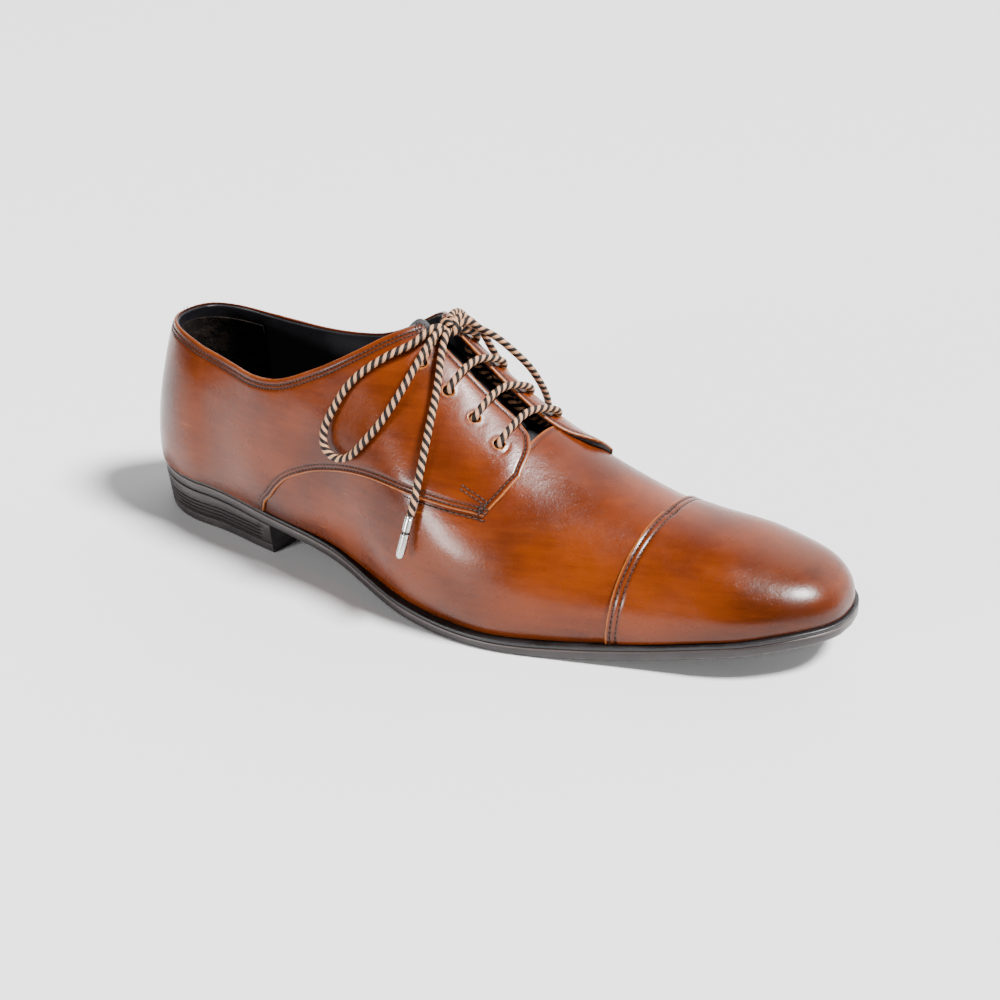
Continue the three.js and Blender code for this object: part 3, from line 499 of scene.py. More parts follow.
# ------------------------------------------------------------------ shader helpers
class Nodes:
    """A node tree under construction, with short ways to add nodes and link them."""

    def __init__(self, tree: Tree) -> None:
        """Keeps the tree."""
        self.tree = tree

    def add(self, kind: str, inputs: dict | None = None, **settings: object) -> Node:
        """A node with its settings and inputs.

        Args:
            kind: the node's type.
            inputs: values or sockets by input name or number.
            settings: the node's properties.

        Returns:
            The node.
        """
        node = self.tree.nodes.new(kind)
        for key, value in settings.items():
            setattr(node, key, value)
        self.fill(node, inputs or {})
        return node

    def fill(self, node: Node, inputs: dict) -> None:
        """Links or sets a node's inputs, by name or number."""
        for key, value in inputs.items():
            if isinstance(value, Socket):
                self.tree.links.new(value, node.inputs[key])
            else:
                node.inputs[key].default_value = value

    def group(self, tree: Tree, inputs: dict) -> Node:
        """A shared group's node, with its own values."""
        return self.add("ShaderNodeGroup", inputs, node_tree=tree)

    def math(self, operation: str, a: object, b: object = 0.0) -> Socket:
        """The result of a Math node on two values or sockets."""
        return self.add("ShaderNodeMath", {0: a, 1: b}, operation=operation).outputs[0]

    def stretched(self, vector: object, scale: tuple[float, float, float]) -> Socket:
        """Coordinates scaled by a different amount on each axis."""
        return self.add("ShaderNodeVectorMath", {0: vector, 1: scale}, operation="MULTIPLY").outputs[0]

    def times(self, a: object, b: object) -> Socket:
        """The product of two values or sockets."""
        return self.math("MULTIPLY", a, b)

    def plus(self, a: object, b: object) -> Socket:
        """The sum of two values or sockets."""
        return self.math("ADD", a, b)

    def mix(self, factor: object, a: object, b: object) -> Socket:
        """The result of a colour mix."""
        return self.add("ShaderNodeMix", {0: factor, 6: a, 7: b}, data_type="RGBA").outputs[2]

    def range(self, value: object, low: float, high: float, to_low: float = 0.0,
              to_high: float = 1.0) -> Socket:
        """A value moved smoothly from one range to another."""
        node = self.add("ShaderNodeMapRange", {0: value, 1: low, 2: high, 3: to_low, 4: to_high},
                        interpolation_type="SMOOTHSTEP")
        return node.outputs[0]

    def noise(self, vector: object, scale: object, detail: float = 3.0,
              rough: float = 0.55) -> Socket:
        """The factor of a noise texture."""
        node = self.add("ShaderNodeTexNoise", {"Vector": vector, "Scale": scale, "Detail": detail,
                                               "Roughness": rough})
        return node.outputs[0]

    def attribute(self, name: str) -> Socket:
        """A vertex attribute as a number."""
        return self.add("ShaderNodeAttribute", attribute_name=name).outputs["Fac"]


def colour(code: str) -> tuple[float, float, float, float]:
    """A display colour, written as six hexadecimal digits, as a linear one."""
    parts = [int(code[i:i + 2], 16) / 255 for i in (0, 2, 4)]
    linear = [c / 12.92 if c <= 0.04045 else ((c + 0.055) / 1.055) ** 2.4 for c in parts]
    return (*linear, 1.0)


def shader_group(name: str, inputs: dict[str, object],
                 outputs: Sequence[str]) -> tuple[Nodes, Node, Node]:
    """An empty shader node group.

    Args:
        name: the group's name.
        inputs: a default value for each input, or None for a vector.
        outputs: the names of its number outputs.

    Returns:
        The group's nodes, its input node and its output node.
    """
    tree = bpy.data.node_groups.new(name, "ShaderNodeTree")
    for key, value in inputs.items():
        kind = "NodeSocketVector" if value is None else "NodeSocketFloat"
        socket = tree.interface.new_socket(key, in_out="INPUT", socket_type=kind)
        if value is not None:
            socket.default_value = value
    for key in outputs:
        tree.interface.new_socket(key, in_out="OUTPUT", socket_type="NodeSocketFloat")
    return Nodes(tree), tree.nodes.new("NodeGroupInput"), tree.nodes.new("NodeGroupOutput")


def grain_group() -> Tree:
    """Fine hide grain: small cells with pores, as a height and a mask of the pores."""
    nodes, given, result = shader_group("hide_grain", {"Vector": None, "Cell Scale": 1500.0, "Pore": 0.35},
                                        ("Height", "Pores"))
    cells = nodes.add("ShaderNodeTexVoronoi", {"Vector": given.outputs["Vector"],
                                               "Scale": given.outputs["Cell Scale"]},
                      feature="SMOOTH_F1").outputs["Distance"]
    wander = nodes.noise(given.outputs["Vector"], 420.0, 4.0)
    pores = nodes.range(nodes.noise(given.outputs["Vector"], 2600.0, 1.0), 0.62, 0.74)
    height = nodes.plus(nodes.times(cells, -0.6), nodes.times(wander, 0.8))
    deep = nodes.times(pores, given.outputs["Pore"])
    nodes.fill(result, {"Height": nodes.math("SUBTRACT", height, deep), "Pores": pores})
    return nodes.tree


def mottle_group() -> Tree:
    """Hand-applied colour: soft clouds with faint strokes, as one number from 0 to 1."""
    nodes, given, result = shader_group("hand_mottle", {"Vector": None, "Cloud Scale": 28.0, "Stroke": 0.35},
                                        ("Amount",))
    clouds = nodes.noise(given.outputs["Vector"], given.outputs["Cloud Scale"], 3.0, 0.5)
    strokes = nodes.noise(nodes.stretched(given.outputs["Vector"], (60.0, 60.0, 420.0)), 1.0, 4.0, 0.65)
    part = nodes.times(strokes, given.outputs["Stroke"])
    rest = nodes.times(clouds, nodes.math("SUBTRACT", 1.0, given.outputs["Stroke"]))
    nodes.fill(result, {"Amount": nodes.range(nodes.plus(part, rest), 0.36, 0.64)})
    return nodes.tree


def scuff_group() -> Tree:
    """Small scuffs: thin scratches and specks, as a mask."""
    nodes, given, result = shader_group("small_scuffs", {"Vector": None, "Scale": 90.0}, ("Mask",))
    bent = nodes.stretched(given.outputs["Vector"], (1.0, 1.0, 5.0))
    cracks = nodes.add("ShaderNodeTexVoronoi", {"Vector": bent, "Scale": given.outputs["Scale"]},
                       feature="DISTANCE_TO_EDGE").outputs["Distance"]
    lines = nodes.range(cracks, 0.0, 0.012, 1.0, 0.0)
    where = nodes.range(nodes.noise(given.outputs["Vector"], 70.0, 2.0), 0.6, 0.7)
    nodes.fill(result, {"Mask": nodes.times(lines, where)})
    return nodes.tree


class Groups:
    """The shader groups that several finishes share, each built once."""

    def __init__(self) -> None:
        """Builds the groups."""
        self.grain = grain_group()
        self.mottle = mottle_group()
        self.scuffs = scuff_group()


GROUPS = Groups()


def new_material(name: str) -> tuple[Material, Nodes, Node, Socket]:
    """A material with its shader.

    Args:
        name: the material's name.

    Returns:
        The material, its nodes, its Principled shader and the object's own coordinates.
    """
    material = bpy.data.materials.new(name)
    material.use_nodes = True
    nodes = Nodes(material.node_tree)
    shader = material.node_tree.nodes["Principled BSDF"]
    place = nodes.add("ShaderNodeTexCoord").outputs["Object"]
    return material, nodes, shader, place


def bump(nodes: Nodes, shader: Node, height: Socket, depth: float,
         under: Socket | None = None) -> Socket:
    """Puts a bump on a shader.

    Args:
        nodes: the material's nodes.
        shader: the shader that takes the normal.
        height: the pattern.
        depth: what a height of 1 means, in millimetres.
        under: the normal of a bump that lies below this one.

    Returns:
        The bump's normal.
    """
    inputs = {"Strength": 1.0, "Distance": depth * MM, "Height": height}
    if under is not None:
        inputs["Normal"] = under
    normal = nodes.add("ShaderNodeBump", inputs).outputs["Normal"]
    nodes.fill(shader, {"Normal": normal})
    return normal


# ------------------------------------------------------------------ finishes
@dataclass(frozen=True)
class PolishedCalf:
    """Calf with a hand-rubbed polish: light at cut edges and dark where it is burnished, with painted shade
    in its stitch grooves and round its lace holes.
    """

    name: str = "polished_calf"
    light: str = "763108"
    middle: str = "5A2105"
    dark: str = "2C1004"
    edge: str = "B46A30"
    roughness: float = 0.26
    coat: float = 0.1
    grain_depth: float = 0.04
    wave_depth: float = 0.12

    def material(self) -> Material:
        """The finish as a material; it reads the attributes edge, seam and burnish, where seam is painted
        shade.
        """
        material, nodes, shader, place = new_material(self.name)
        grain = nodes.group(GROUPS.grain, {"Vector": place, "Cell Scale": 1300.0, "Pore": 0.3})
        mottle = nodes.group(GROUPS.mottle, {"Vector": place, "Cloud Scale": 26.0, "Stroke": 0.3})
        base = nodes.mix(mottle.outputs["Amount"], colour(self.middle), colour(self.light))
        burnish = nodes.times(nodes.attribute("burnish"),
                             nodes.range(mottle.outputs["Amount"], 0.0, 1.0, 1.0, 0.72))
        base = nodes.mix(burnish, base, colour(self.dark))
        # seam: painted shade, darker in the stitch grooves and in the dip round each lace hole
        seam = nodes.times(nodes.attribute("seam"), 0.55)
        base = nodes.mix(seam, base, colour(self.dark))
        edge_noise = nodes.range(nodes.noise(place, 900.0, 3.0), 0.3, 0.7, 0.55, 1.0)
        edge = nodes.times(nodes.attribute("edge"), edge_noise)
        base = nodes.mix(edge, base, colour(self.edge))
        scratch = nodes.times(self.scratches(nodes, place), 0.3)
        base = nodes.mix(scratch, base, colour(self.edge))
        haze = nodes.range(nodes.noise(place, 45.0, 4.0), 0.3, 0.7, -0.05, 0.07)
        rough = nodes.plus(nodes.plus(haze, self.roughness), nodes.times(edge, 0.2))
        nodes.fill(shader, {"Base Color": base, "Roughness": rough, "Coat Roughness": 0.16,
                            "Coat Weight": self.coat, "Specular IOR Level": 0.3})
        low = bump(nodes, shader, nodes.noise(place, 130.0, 3.0), self.wave_depth)
        bump(nodes, shader, grain.outputs["Height"], self.grain_depth, low)
        return material

    @staticmethod
    def scratches(nodes: Nodes, place: Socket) -> Socket:
        """A few hair-thin light scratches along the shoe, as a mask."""
        drawn = nodes.stretched(place, (14.0, 40.0, 420.0))
        lines = nodes.range(nodes.noise(drawn, 1.0, 1.0), 0.72, 0.75)
        return nodes.times(lines, nodes.range(nodes.noise(place, 38.0, 1.0), 0.55, 0.65))


@dataclass(frozen=True)
class PlainLeather:
    """A dyed leather of one colour with a grain, for linings, the tongue and the welt."""

    name: str
    tone: str
    worn: str
    roughness: float
    cells: float = 1400.0
    grain_depth: float = 0.06
    coat: float = 0.0

    def material(self) -> Material:
        """The finish as a material."""
        material, nodes, shader, place = new_material(self.name)
        grain = nodes.group(GROUPS.grain, {"Vector": place, "Cell Scale": self.cells, "Pore": 0.5})
        mottle = nodes.group(GROUPS.mottle, {"Vector": place, "Cloud Scale": 70.0, "Stroke": 0.2})
        amount = nodes.times(mottle.outputs["Amount"], 0.6)
        base = nodes.mix(amount, colour(self.tone), colour(self.worn))
        base = nodes.mix(nodes.times(grain.outputs["Pores"], 0.5), base, colour("0A0808"))
        rough = nodes.plus(nodes.range(mottle.outputs["Amount"], 0, 1, -0.06, 0.1), self.roughness)
        nodes.fill(shader, {"Base Color": base, "Roughness": rough, "Coat Weight": self.coat,
                            "Coat Roughness": 0.25})
        bump(nodes, shader, grain.outputs["Height"], self.grain_depth)
        return material


@dataclass(frozen=True)
class Suede:
    """Brushed suede: short nap in rubbed patches."""

    name: str = "grip_suede"
    tone: str = "0E0B0A"
    rubbed: str = "2A201A"

    def material(self) -> Material:
        """The finish as a material."""
        material, nodes, shader, place = new_material(self.name)
        nap = nodes.noise(place, 1500.0, 4.0, 0.7)
        patches = nodes.range(nodes.noise(place, 160.0, 4.0, 0.65), 0.42, 0.62)
        base = nodes.mix(patches, colour(self.tone), colour(self.rubbed))
        base = nodes.mix(nodes.range(nap, 0.35, 0.65, 0.35, 0.0), base, colour("080605"))
        nodes.fill(shader, {"Base Color": base, "Roughness": 0.95, "Specular IOR Level": 0.15})
        bump(nodes, shader, nodes.plus(nap, patches), 0.25)
        return material


@dataclass(frozen=True)
class SoleEdge:
    """Stacked and painted sole edge: fine horizontal lines under a waxed colour."""

    name: str = "sole_edge"
    tone: str = "241D1E"
    light: str = "2E2627"
    roughness: float = 0.36

    def material(self) -> Material:
        """The finish as a material; the attribute rim marks a painted highlight along a rounded upper edge,
        and the attribute dark marks painted shade in grooves.
        """
        material, nodes, shader, place = new_material(self.name)
        lines = nodes.noise(nodes.stretched(place, (90.0, 90.0, 1800.0)), 1.0, 3.0, 0.6)
        mottle = nodes.group(GROUPS.mottle, {"Vector": place, "Cloud Scale": 90.0, "Stroke": 0.4})
        scuffs = nodes.group(GROUPS.scuffs, {"Vector": place, "Scale": 120.0})
        base = nodes.mix(mottle.outputs["Amount"], colour(self.tone), colour(self.light))
        base = nodes.mix(nodes.range(lines, 0.35, 0.65, 0.1, 0.0), base, colour("181314"))
        # painted highlight along the rounded top corner
        base = nodes.mix(nodes.times(nodes.attribute("rim"), 0.8), base, colour("6A5E5A"))
        # painted shade in grooves and at joins
        base = nodes.mix(nodes.times(nodes.attribute("dark"), 0.85), base, colour("0C090A"))
        base = nodes.mix(nodes.times(scuffs.outputs["Mask"], 0.25), base, colour("5C504C"))
        rough = nodes.plus(nodes.range(mottle.outputs["Amount"], 0, 1, 0.08, -0.05), self.roughness)
        nodes.fill(shader, {"Base Color": base, "Roughness": rough})
        uneven = nodes.plus(nodes.times(lines, 0.3), nodes.noise(place, 900.0, 3.0))
        bump(nodes, shader, uneven, 0.03)
        return material


@dataclass(frozen=True)
class Rubber:
    """Moulded rubber with a fine matt texture."""

    name: str = "top_piece_rubber"
    tone: str = "262122"
    worn: str = "3A3435"

    def material(self) -> Material:
        """The finish as a material."""
        material, nodes, shader, place = new_material(self.name)
        speck = nodes.noise(place, 2200.0, 2.0)
        clouds = nodes.range(nodes.noise(place, 60.0, 3.0), 0.35, 0.65)
        base = nodes.mix(clouds, colour(self.tone), colour(self.worn))
        nodes.fill(shader, {"Base Color": base, "Roughness": nodes.range(clouds, 0.0, 1.0, 0.55, 0.72)})
        bump(nodes, shader, speck, 0.05)
        return material


@dataclass(frozen=True)
class Metal:
    """Bright or dull metal with fine scratches."""

    name: str
    tone: str
    roughness: float

    def material(self) -> Material:
        """The finish as a material; the attribute dark marks painted shade in grooves."""
        material, nodes, shader, place = new_material(self.name)
        scuffs = nodes.group(GROUPS.scuffs, {"Vector": place, "Scale": 700.0})
        haze = nodes.range(nodes.noise(place, 350.0, 3.0), 0.3, 0.7, -0.05, 0.1)
        worn = nodes.times(scuffs.outputs["Mask"], 0.4)
        base = nodes.mix(worn, colour(self.tone), colour("6E6A66"))
        # painted shade in the grooves
        base = nodes.mix(nodes.attribute("dark"), base, colour("14110F"))
        rough = nodes.plus(haze, self.roughness)
        nodes.fill(shader, {"Base Color": base, "Roughness": rough, "Metallic": 1.0})
        bump(nodes, shader, scuffs.outputs["Mask"], 0.01)
        return material


@dataclass(frozen=True)
class BraidedLace:
    """Waxed cotton lace with two colours laid in turn: strands from the uv map, u around and v along."""

    name: str = "lace_cord"
    pale: str = "D8A27A"
    black: str = "060508"
    strands: int = 4
    yarns: int = 3

    def material(self) -> Material:
        """The finish as a material."""
        material, nodes, shader, place = new_material(self.name)
        split = nodes.add("ShaderNodeSeparateXYZ", {0: nodes.add("ShaderNodeUVMap").outputs[0]})
        turn = nodes.plus(split.outputs[0], split.outputs[1])
        pair = nodes.math("FRACT", nodes.times(turn, self.strands / 2))
        pale = nodes.times(nodes.range(pair, 0.0, 0.05),
                          nodes.range(pair, 0.5, 0.55, 1.0, 0.0))
        strand = nodes.math("FRACT", nodes.times(turn, self.strands))
        # groove: painted shade in the grooves between strands
        groove = nodes.math("MAXIMUM", nodes.range(strand, 0.0, 0.14, 1.0, 0.0),
                            nodes.range(strand, 0.86, 1.0))
        count = float(self.strands * self.yarns)
        lean = nodes.math("SUBTRACT", nodes.times(split.outputs[1], count),
                          nodes.times(split.outputs[0], count * 0.35))
        yarn = nodes.math("SINE", nodes.times(lean, 2 * math.pi))
        fuzz = nodes.noise(place, 3500.0, 3.0, 0.7)
        base = nodes.mix(pale, colour(self.black), colour(self.pale))
        shade = nodes.times(nodes.range(yarn, -1.0, 0.2, 1.0, 0.0),
                           nodes.range(pale, 0, 1, 0.1, 0.35))
        base = nodes.mix(shade, base, colour("5A3A2A"))
        # painted shade in the grooves between strands
        base = nodes.mix(nodes.times(groove, 0.7), base, colour("0C0908"))
        hair = nodes.times(nodes.range(fuzz, 0.4, 0.7, 0.0, 0.25), pale)
        base = nodes.mix(hair, base, colour("8A6648"))
        nodes.fill(shader, {"Base Color": base, "Roughness": nodes.range(fuzz, 0.3, 0.7, 0.5, 0.72),
                            "Specular IOR Level": 0.3})
        low = bump(nodes, shader, nodes.times(yarn, 0.5), 0.09)
        bump(nodes, shader, fuzz, 0.08, low)
        return material


@dataclass(frozen=True)
class Thread:
    """Waxed sewing thread, with near-black discs that paint the shade of the needle holes that it comes out
    of.
    """

    name: str
    tone: str
    shine: str

    def material(self) -> Material:
        """The finish as a material; the attribute needle is 1 on a needle hole's disc, which is painted near
        black as the hole's shade.
        """
        material, nodes, shader, place = new_material(self.name)
        twist = nodes.range(nodes.noise(place, 5200.0, 2.0), 0.35, 0.65)
        base = nodes.mix(twist, colour(self.tone), colour(self.shine))
        needle = nodes.attribute("needle")
        # painted shade: the needle hole discs are near black
        base = nodes.mix(needle, base, colour("120705"))
        nodes.fill(shader, {"Base Color": base, "Roughness": nodes.range(needle, 0, 1, 0.55, 0.95)})
        bump(nodes, shader, twist, 0.04)
        return material


@dataclass(frozen=True)
class Board:
    """Fibre, cork or woven stock: specks of two tones in a ground."""

    name: str
    tone: str
    fleck: str
    scale: float
    roughness: float = 0.88

    def material(self) -> Material:
        """The finish as a material."""
        material, nodes, shader, place = new_material(self.name)
        flecks = nodes.range(nodes.noise(place, self.scale, 4.0, 0.7), 0.42, 0.6)
        cells = nodes.add("ShaderNodeTexVoronoi", {"Vector": place, "Scale": self.scale * 0.8})
        base = nodes.mix(flecks, colour(self.tone), colour(self.fleck))
        rough = nodes.range(flecks, 0, 1, self.roughness - 0.08, self.roughness)
        nodes.fill(shader, {"Base Color": base, "Roughness": rough})
        bump(nodes, shader, nodes.plus(flecks, cells.outputs["Distance"]), 0.12)
        return material


class Finishes:
    """Every finish of the shoe, each made once."""

    def __init__(self) -> None:
        """Makes the materials."""
        self.calf = PolishedCalf().material()
        self.tongue = PlainLeather("tongue_leather", "0F0E12", "1E1B22", 0.42, coat=0.12).material()
        self.lining = PlainLeather("lining_leather", "131116", "211D22", 0.5).material()
        self.fabric = Board("vamp_lining_fabric", "1B191D", "2C282C", 1800.0).material()
        self.welt = PlainLeather("welt_black", "0F0D0E", "231F20", 0.38, 1100.0, 0.12).material()
        self.suede = Suede().material()
        self.sole = SoleEdge().material()
        self.rubber = Rubber().material()
        self.nail = Metal("nail_steel", "8F9296", 0.4).material()
        self.shank = Metal("shank_steel", "6E7680", 0.35).material()
        self.eyelet = Metal("eyelet_metal", "7B6A52", 0.38).material()
        self.silver = Metal("aglet_silver", "C4C2BE", 0.24).material()
        self.lace = BraidedLace().material()
        self.thread = Thread("brown_thread", "220E08", "4C2A1C").material()
        self.stiffener = Board("stiffener_board", "CBB894", "A38C66", 700.0).material()
        self.insole = Board("insole_fibre", "A98A62", "7C6040", 500.0).material()
        self.cork = Board("cork", "9A7248", "5C3D22", 450.0).material()


FINISHES = Finishes()


# ------------------------------------------------------------------ stitches
@dataclass(frozen=True)
class StitchStyle:
    """Sizes of a row of stitches, in millimetres."""

    pitch: float = 1.8
    share: float = 0.68
    thread: float = 0.25
    hole: float = 0.34


class StitchMaker:
    """Lays stitches along lines with a tree of geometry nodes."""

    SIZES = {"Pitch": "pitch", "Share": "share", "Thread Radius": "thread", "Hole Radius": "hole"}

    def __init__(self) -> None:
        """Builds the tree."""
        self.tree = self._tree()

    def _tree(self) -> Tree:
        """The tree: a thread arc and a flat disc that carries a needle hole's painted shade at every pitch of
        each line.
        """
        tree = bpy.data.node_groups.new("stitch_rows", "GeometryNodeTree")
        tree.interface.new_socket("Geometry", in_out="INPUT", socket_type="NodeSocketGeometry")
        for name in self.SIZES:
            tree.interface.new_socket(name, in_out="INPUT", socket_type="NodeSocketFloat")
        tree.interface.new_socket("Geometry", in_out="OUTPUT", socket_type="NodeSocketGeometry")
        nodes = Nodes(tree)
        given = nodes.add("NodeGroupInput").outputs
        line = nodes.add("GeometryNodeMeshToCurve", {"Mesh": given["Geometry"]}).outputs[0]
        spots = nodes.add("GeometryNodeResampleCurve", {"Curve": line, "Length": given["Pitch"]},
                          mode="LENGTH")
        tangent = nodes.add("GeometryNodeInputTangent")
        out = nodes.add("GeometryNodeInputNamedAttribute", {"Name": "out"}, data_type="FLOAT_VECTOR")
        turn = nodes.add("FunctionNodeAxesToRotation", {0: tangent.outputs[0], 1: out.outputs[0]},
                         primary_axis="X", secondary_axis="Z").outputs[0]
        half = nodes.times(nodes.times(given["Pitch"], given["Share"]), 0.5)
        back = nodes.times(half, -1.0)
        dip = nodes.times(given["Thread Radius"], -1.4)
        top = nodes.times(given["Thread Radius"], 1.6)
        ends = [nodes.add("ShaderNodeCombineXYZ", {0: x, 2: z}).outputs[0]
                for x, z in ((back, dip), (0.0, top), (half, dip))]
        arc = nodes.add("GeometryNodeCurveQuadraticBezier",
                        {"Resolution": 4, "Start": ends[0], "Middle": ends[1], "End": ends[2]}).outputs[0]
        section = nodes.add("GeometryNodeCurvePrimitiveCircle",
                            {"Resolution": 6, "Radius": given["Thread Radius"]}).outputs[0]
        thread = nodes.add("GeometryNodeCurveToMesh",
                           {"Curve": arc, "Profile Curve": section, "Fill Caps": True}).outputs[0]
        # needle hole: a flat disc, coloured near black as painted shade
        disc = nodes.add("GeometryNodeMeshCircle", {"Vertices": 6, "Radius": given["Hole Radius"]},
                         fill_type="NGON").outputs[0]
        aside = nodes.add("ShaderNodeCombineXYZ", {0: nodes.times(given["Pitch"], 0.5),
                                                   2: nodes.times(given["Thread Radius"], 0.25)})
        hole = nodes.add("GeometryNodeTransform",
                         {"Geometry": disc, "Translation": aside.outputs[0]}).outputs[0]
        stitch = nodes.add("GeometryNodeJoinGeometry")
        for part, value in ((thread, 0.0), (hole, 1.0)):
            marked = nodes.add("GeometryNodeStoreNamedAttribute",
                               {"Geometry": part, "Name": "needle", "Value": value},
                               data_type="FLOAT", domain="POINT")
            nodes.fill(stitch, {0: marked.outputs[0]})
        spread = nodes.add("GeometryNodeInstanceOnPoints",
                           {"Points": spots.outputs[0], "Instance": stitch.outputs[0], "Rotation": turn})
        real = nodes.add("GeometryNodeRealizeInstances", {0: spread.outputs[0]}).outputs[0]
        dressed = nodes.add("GeometryNodeSetMaterial", {"Geometry": real, "Material": FINISHES.thread})
        nodes.add("NodeGroupOutput", {0: dressed.outputs[0]})
        return tree

    def sew(self, name: str, lines: Sequence[tuple[Array, Array]],
            style: StitchStyle = StitchStyle()) -> Object:
        """Stitches along lines, as one plain mesh that is dressed and handed over.

        Args:
            name: the piece's name.
            lines: for each row, its points in the shoe's millimetres and its outward directions.
            style: the sizes.

        Returns:
            The stitches.
        """
        points, edges, outs = [], [], []
        for line, out in lines:
            start = len(points)
            points += to_frame(line).tolist()
            outs.append(out)
            edges += [(k, k + 1) for k in range(start, start + len(line) - 1)]
        mesh = bpy.data.meshes.new(name + "_lines")
        mesh.from_pydata(points, edges, [])
        attribute = mesh.attributes.new("out", "FLOAT_VECTOR", "POINT")
        attribute.data.foreach_set("vector", np.concatenate(outs).astype(np.float32).ravel())
        guide = placed(name + "_lines", mesh)
        modifier = guide.modifiers.new("stitches", "NODES")
        modifier.node_group = self.tree
        for item in self.tree.interface.items_tree:
            if item.in_out == "INPUT" and item.name in self.SIZES:
                value = getattr(style, self.SIZES[item.name])
                modifier[item.identifier] = value if item.name == "Share" else value * MM
        bpy.context.view_layer.update()
        graph = bpy.context.evaluated_depsgraph_get()
        made = bpy.data.meshes.new_from_object(guide.evaluated_get(graph))
        made.name = name
        bpy.data.objects.remove(guide)
        made.shade_smooth()
        return finished(placed(name, made), FINISHES.thread)


# ------------------------------------------------------------------ panels of the upper
def no_curl(s: Array, u: Array) -> Array:
    """A panel that lies flat everywhere."""
    return np.zeros(np.broadcast(s, u).shape)


def corner_curl(s: Array, u: Array) -> Array:
    """How far the front of the medial facing has curled up, in millimetres."""
    x = LAST.station(np.abs(s))
    return 3.2 * smoothstep(181, 198, x) ** 1.3 * smoothstep(0.58, 0.9, u)


@dataclass
class PanelEdge:
    """An edge of a panel: places (s, u) along it, its rows of stitches and how it is finished."""

    places: Array
    rows: tuple[float, ...] = ()
    shown: float = 1.0
    round: float = 0.5
    groove: float = 0.16
    curl: Callable = no_curl

    def line(self, out: float, spacing: float = 0.2) -> Array:
        """The edge as closely sampled points at an offset from the last."""
        s, u = self.places.T
        return resample(LAST.offset(s, u, out + self.curl(s, u)), spacing)

    def moved(self, distance: float, out: float, toward: Array) -> Array:
        """The edge moved over the surface.

        Args:
            distance: how far, in millimetres.
            out: offset of the surface from the last.
            toward: a place (s, u) that lies on the side to move to.

        Returns:
            The moved places.
        """
        places = self.places.copy()
        steps = max(1, math.ceil(abs(distance) / 1.2))
        for _ in range(steps):
            s, u = places.T
            here = LAST.offset(s, u, out)
            ps = (LAST.offset(s + 0.3, u, out) - LAST.offset(s - 0.3, u, out)) / 0.6
            pu = (LAST.offset(s, np.minimum(u + 0.01, 0.999), out)
                  - LAST.offset(s, np.maximum(u - 0.01, 0), out)) / 0.02
            way = unit(np.gradient(here, axis=0))
            across = unit(np.cross(unit(np.cross(ps, pu)), way))
            aim = ps * (toward[0] - s)[:, None] + pu * (toward[1] - u)[:, None]
            across *= np.sign((across * aim).sum(axis=1).sum())
            gss, gsu, guu = (ps * ps).sum(1), (ps * pu).sum(1), (pu * pu).sum(1)
            bs, bu = (ps * across).sum(1), (pu * across).sum(1)
            det = gss * guu - gsu * gsu
            step = distance / steps
            move = np.stack([(guu * bs - gsu * bu) / det, (gss * bu - gsu * bs) / det], axis=1)
            places = places + step * move
        return places


NEAR_EDGE = (0, 0.07, 0.16, 0.28, 0.42, 0.6, 0.85, 1.15, 1.5, 1.9, 2.3, 2.7, 3.1, 3.6, 4.1, 4.6, 5.3, 6.2)


def across_columns(s: Array, low: Array, high: Array, middle: int) -> Array:
    """Profile positions of the columns of a panel, close together at both edges.

    Args:
        s: signed perimeter of each row.
        low: profile position of each row's foot.
        high: profile position of each row's top.
        middle: how many columns lie between the two crowded borders.

    Returns:
        A grid of profile positions.
    """
    share = np.linspace(0, 1, 101)
    u = low[:, None] + (high - low)[:, None] * share
    points = LAST.offset(s[:, None], u, 2.0)
    steps = np.linalg.norm(np.diff(points, axis=1), axis=2)
    run = np.concatenate([np.zeros((len(s), 1)), np.cumsum(steps, axis=1)], axis=1)
    near = np.array(NEAR_EDGE)
    grid = []
    for row, along in enumerate(run):
        total = along[-1]
        scale = min(1.0, total * 0.42 / near[-1])
        border = near * scale
        inside = np.linspace(border[-1], total - border[-1], middle + 2)[1:-1]
        at = np.concatenate([border, inside, (total - border)[::-1]])
        grid.append(np.interp(at, along, u[row]))
    return np.array(grid)


def undulation(points: Array) -> Array:
    """The slight unevenness of hand-lasted leather, in millimetres."""
    x, y, z = np.moveaxis(points, -1, 0)
    return (0.10 * np.sin(x / 9.3 + 1.3 * np.sin(z / 11)) * np.sin(z / 8.1 + y / 13)
            + 0.07 * np.sin(x / 5.1 + z / 6.7 + 2.1))


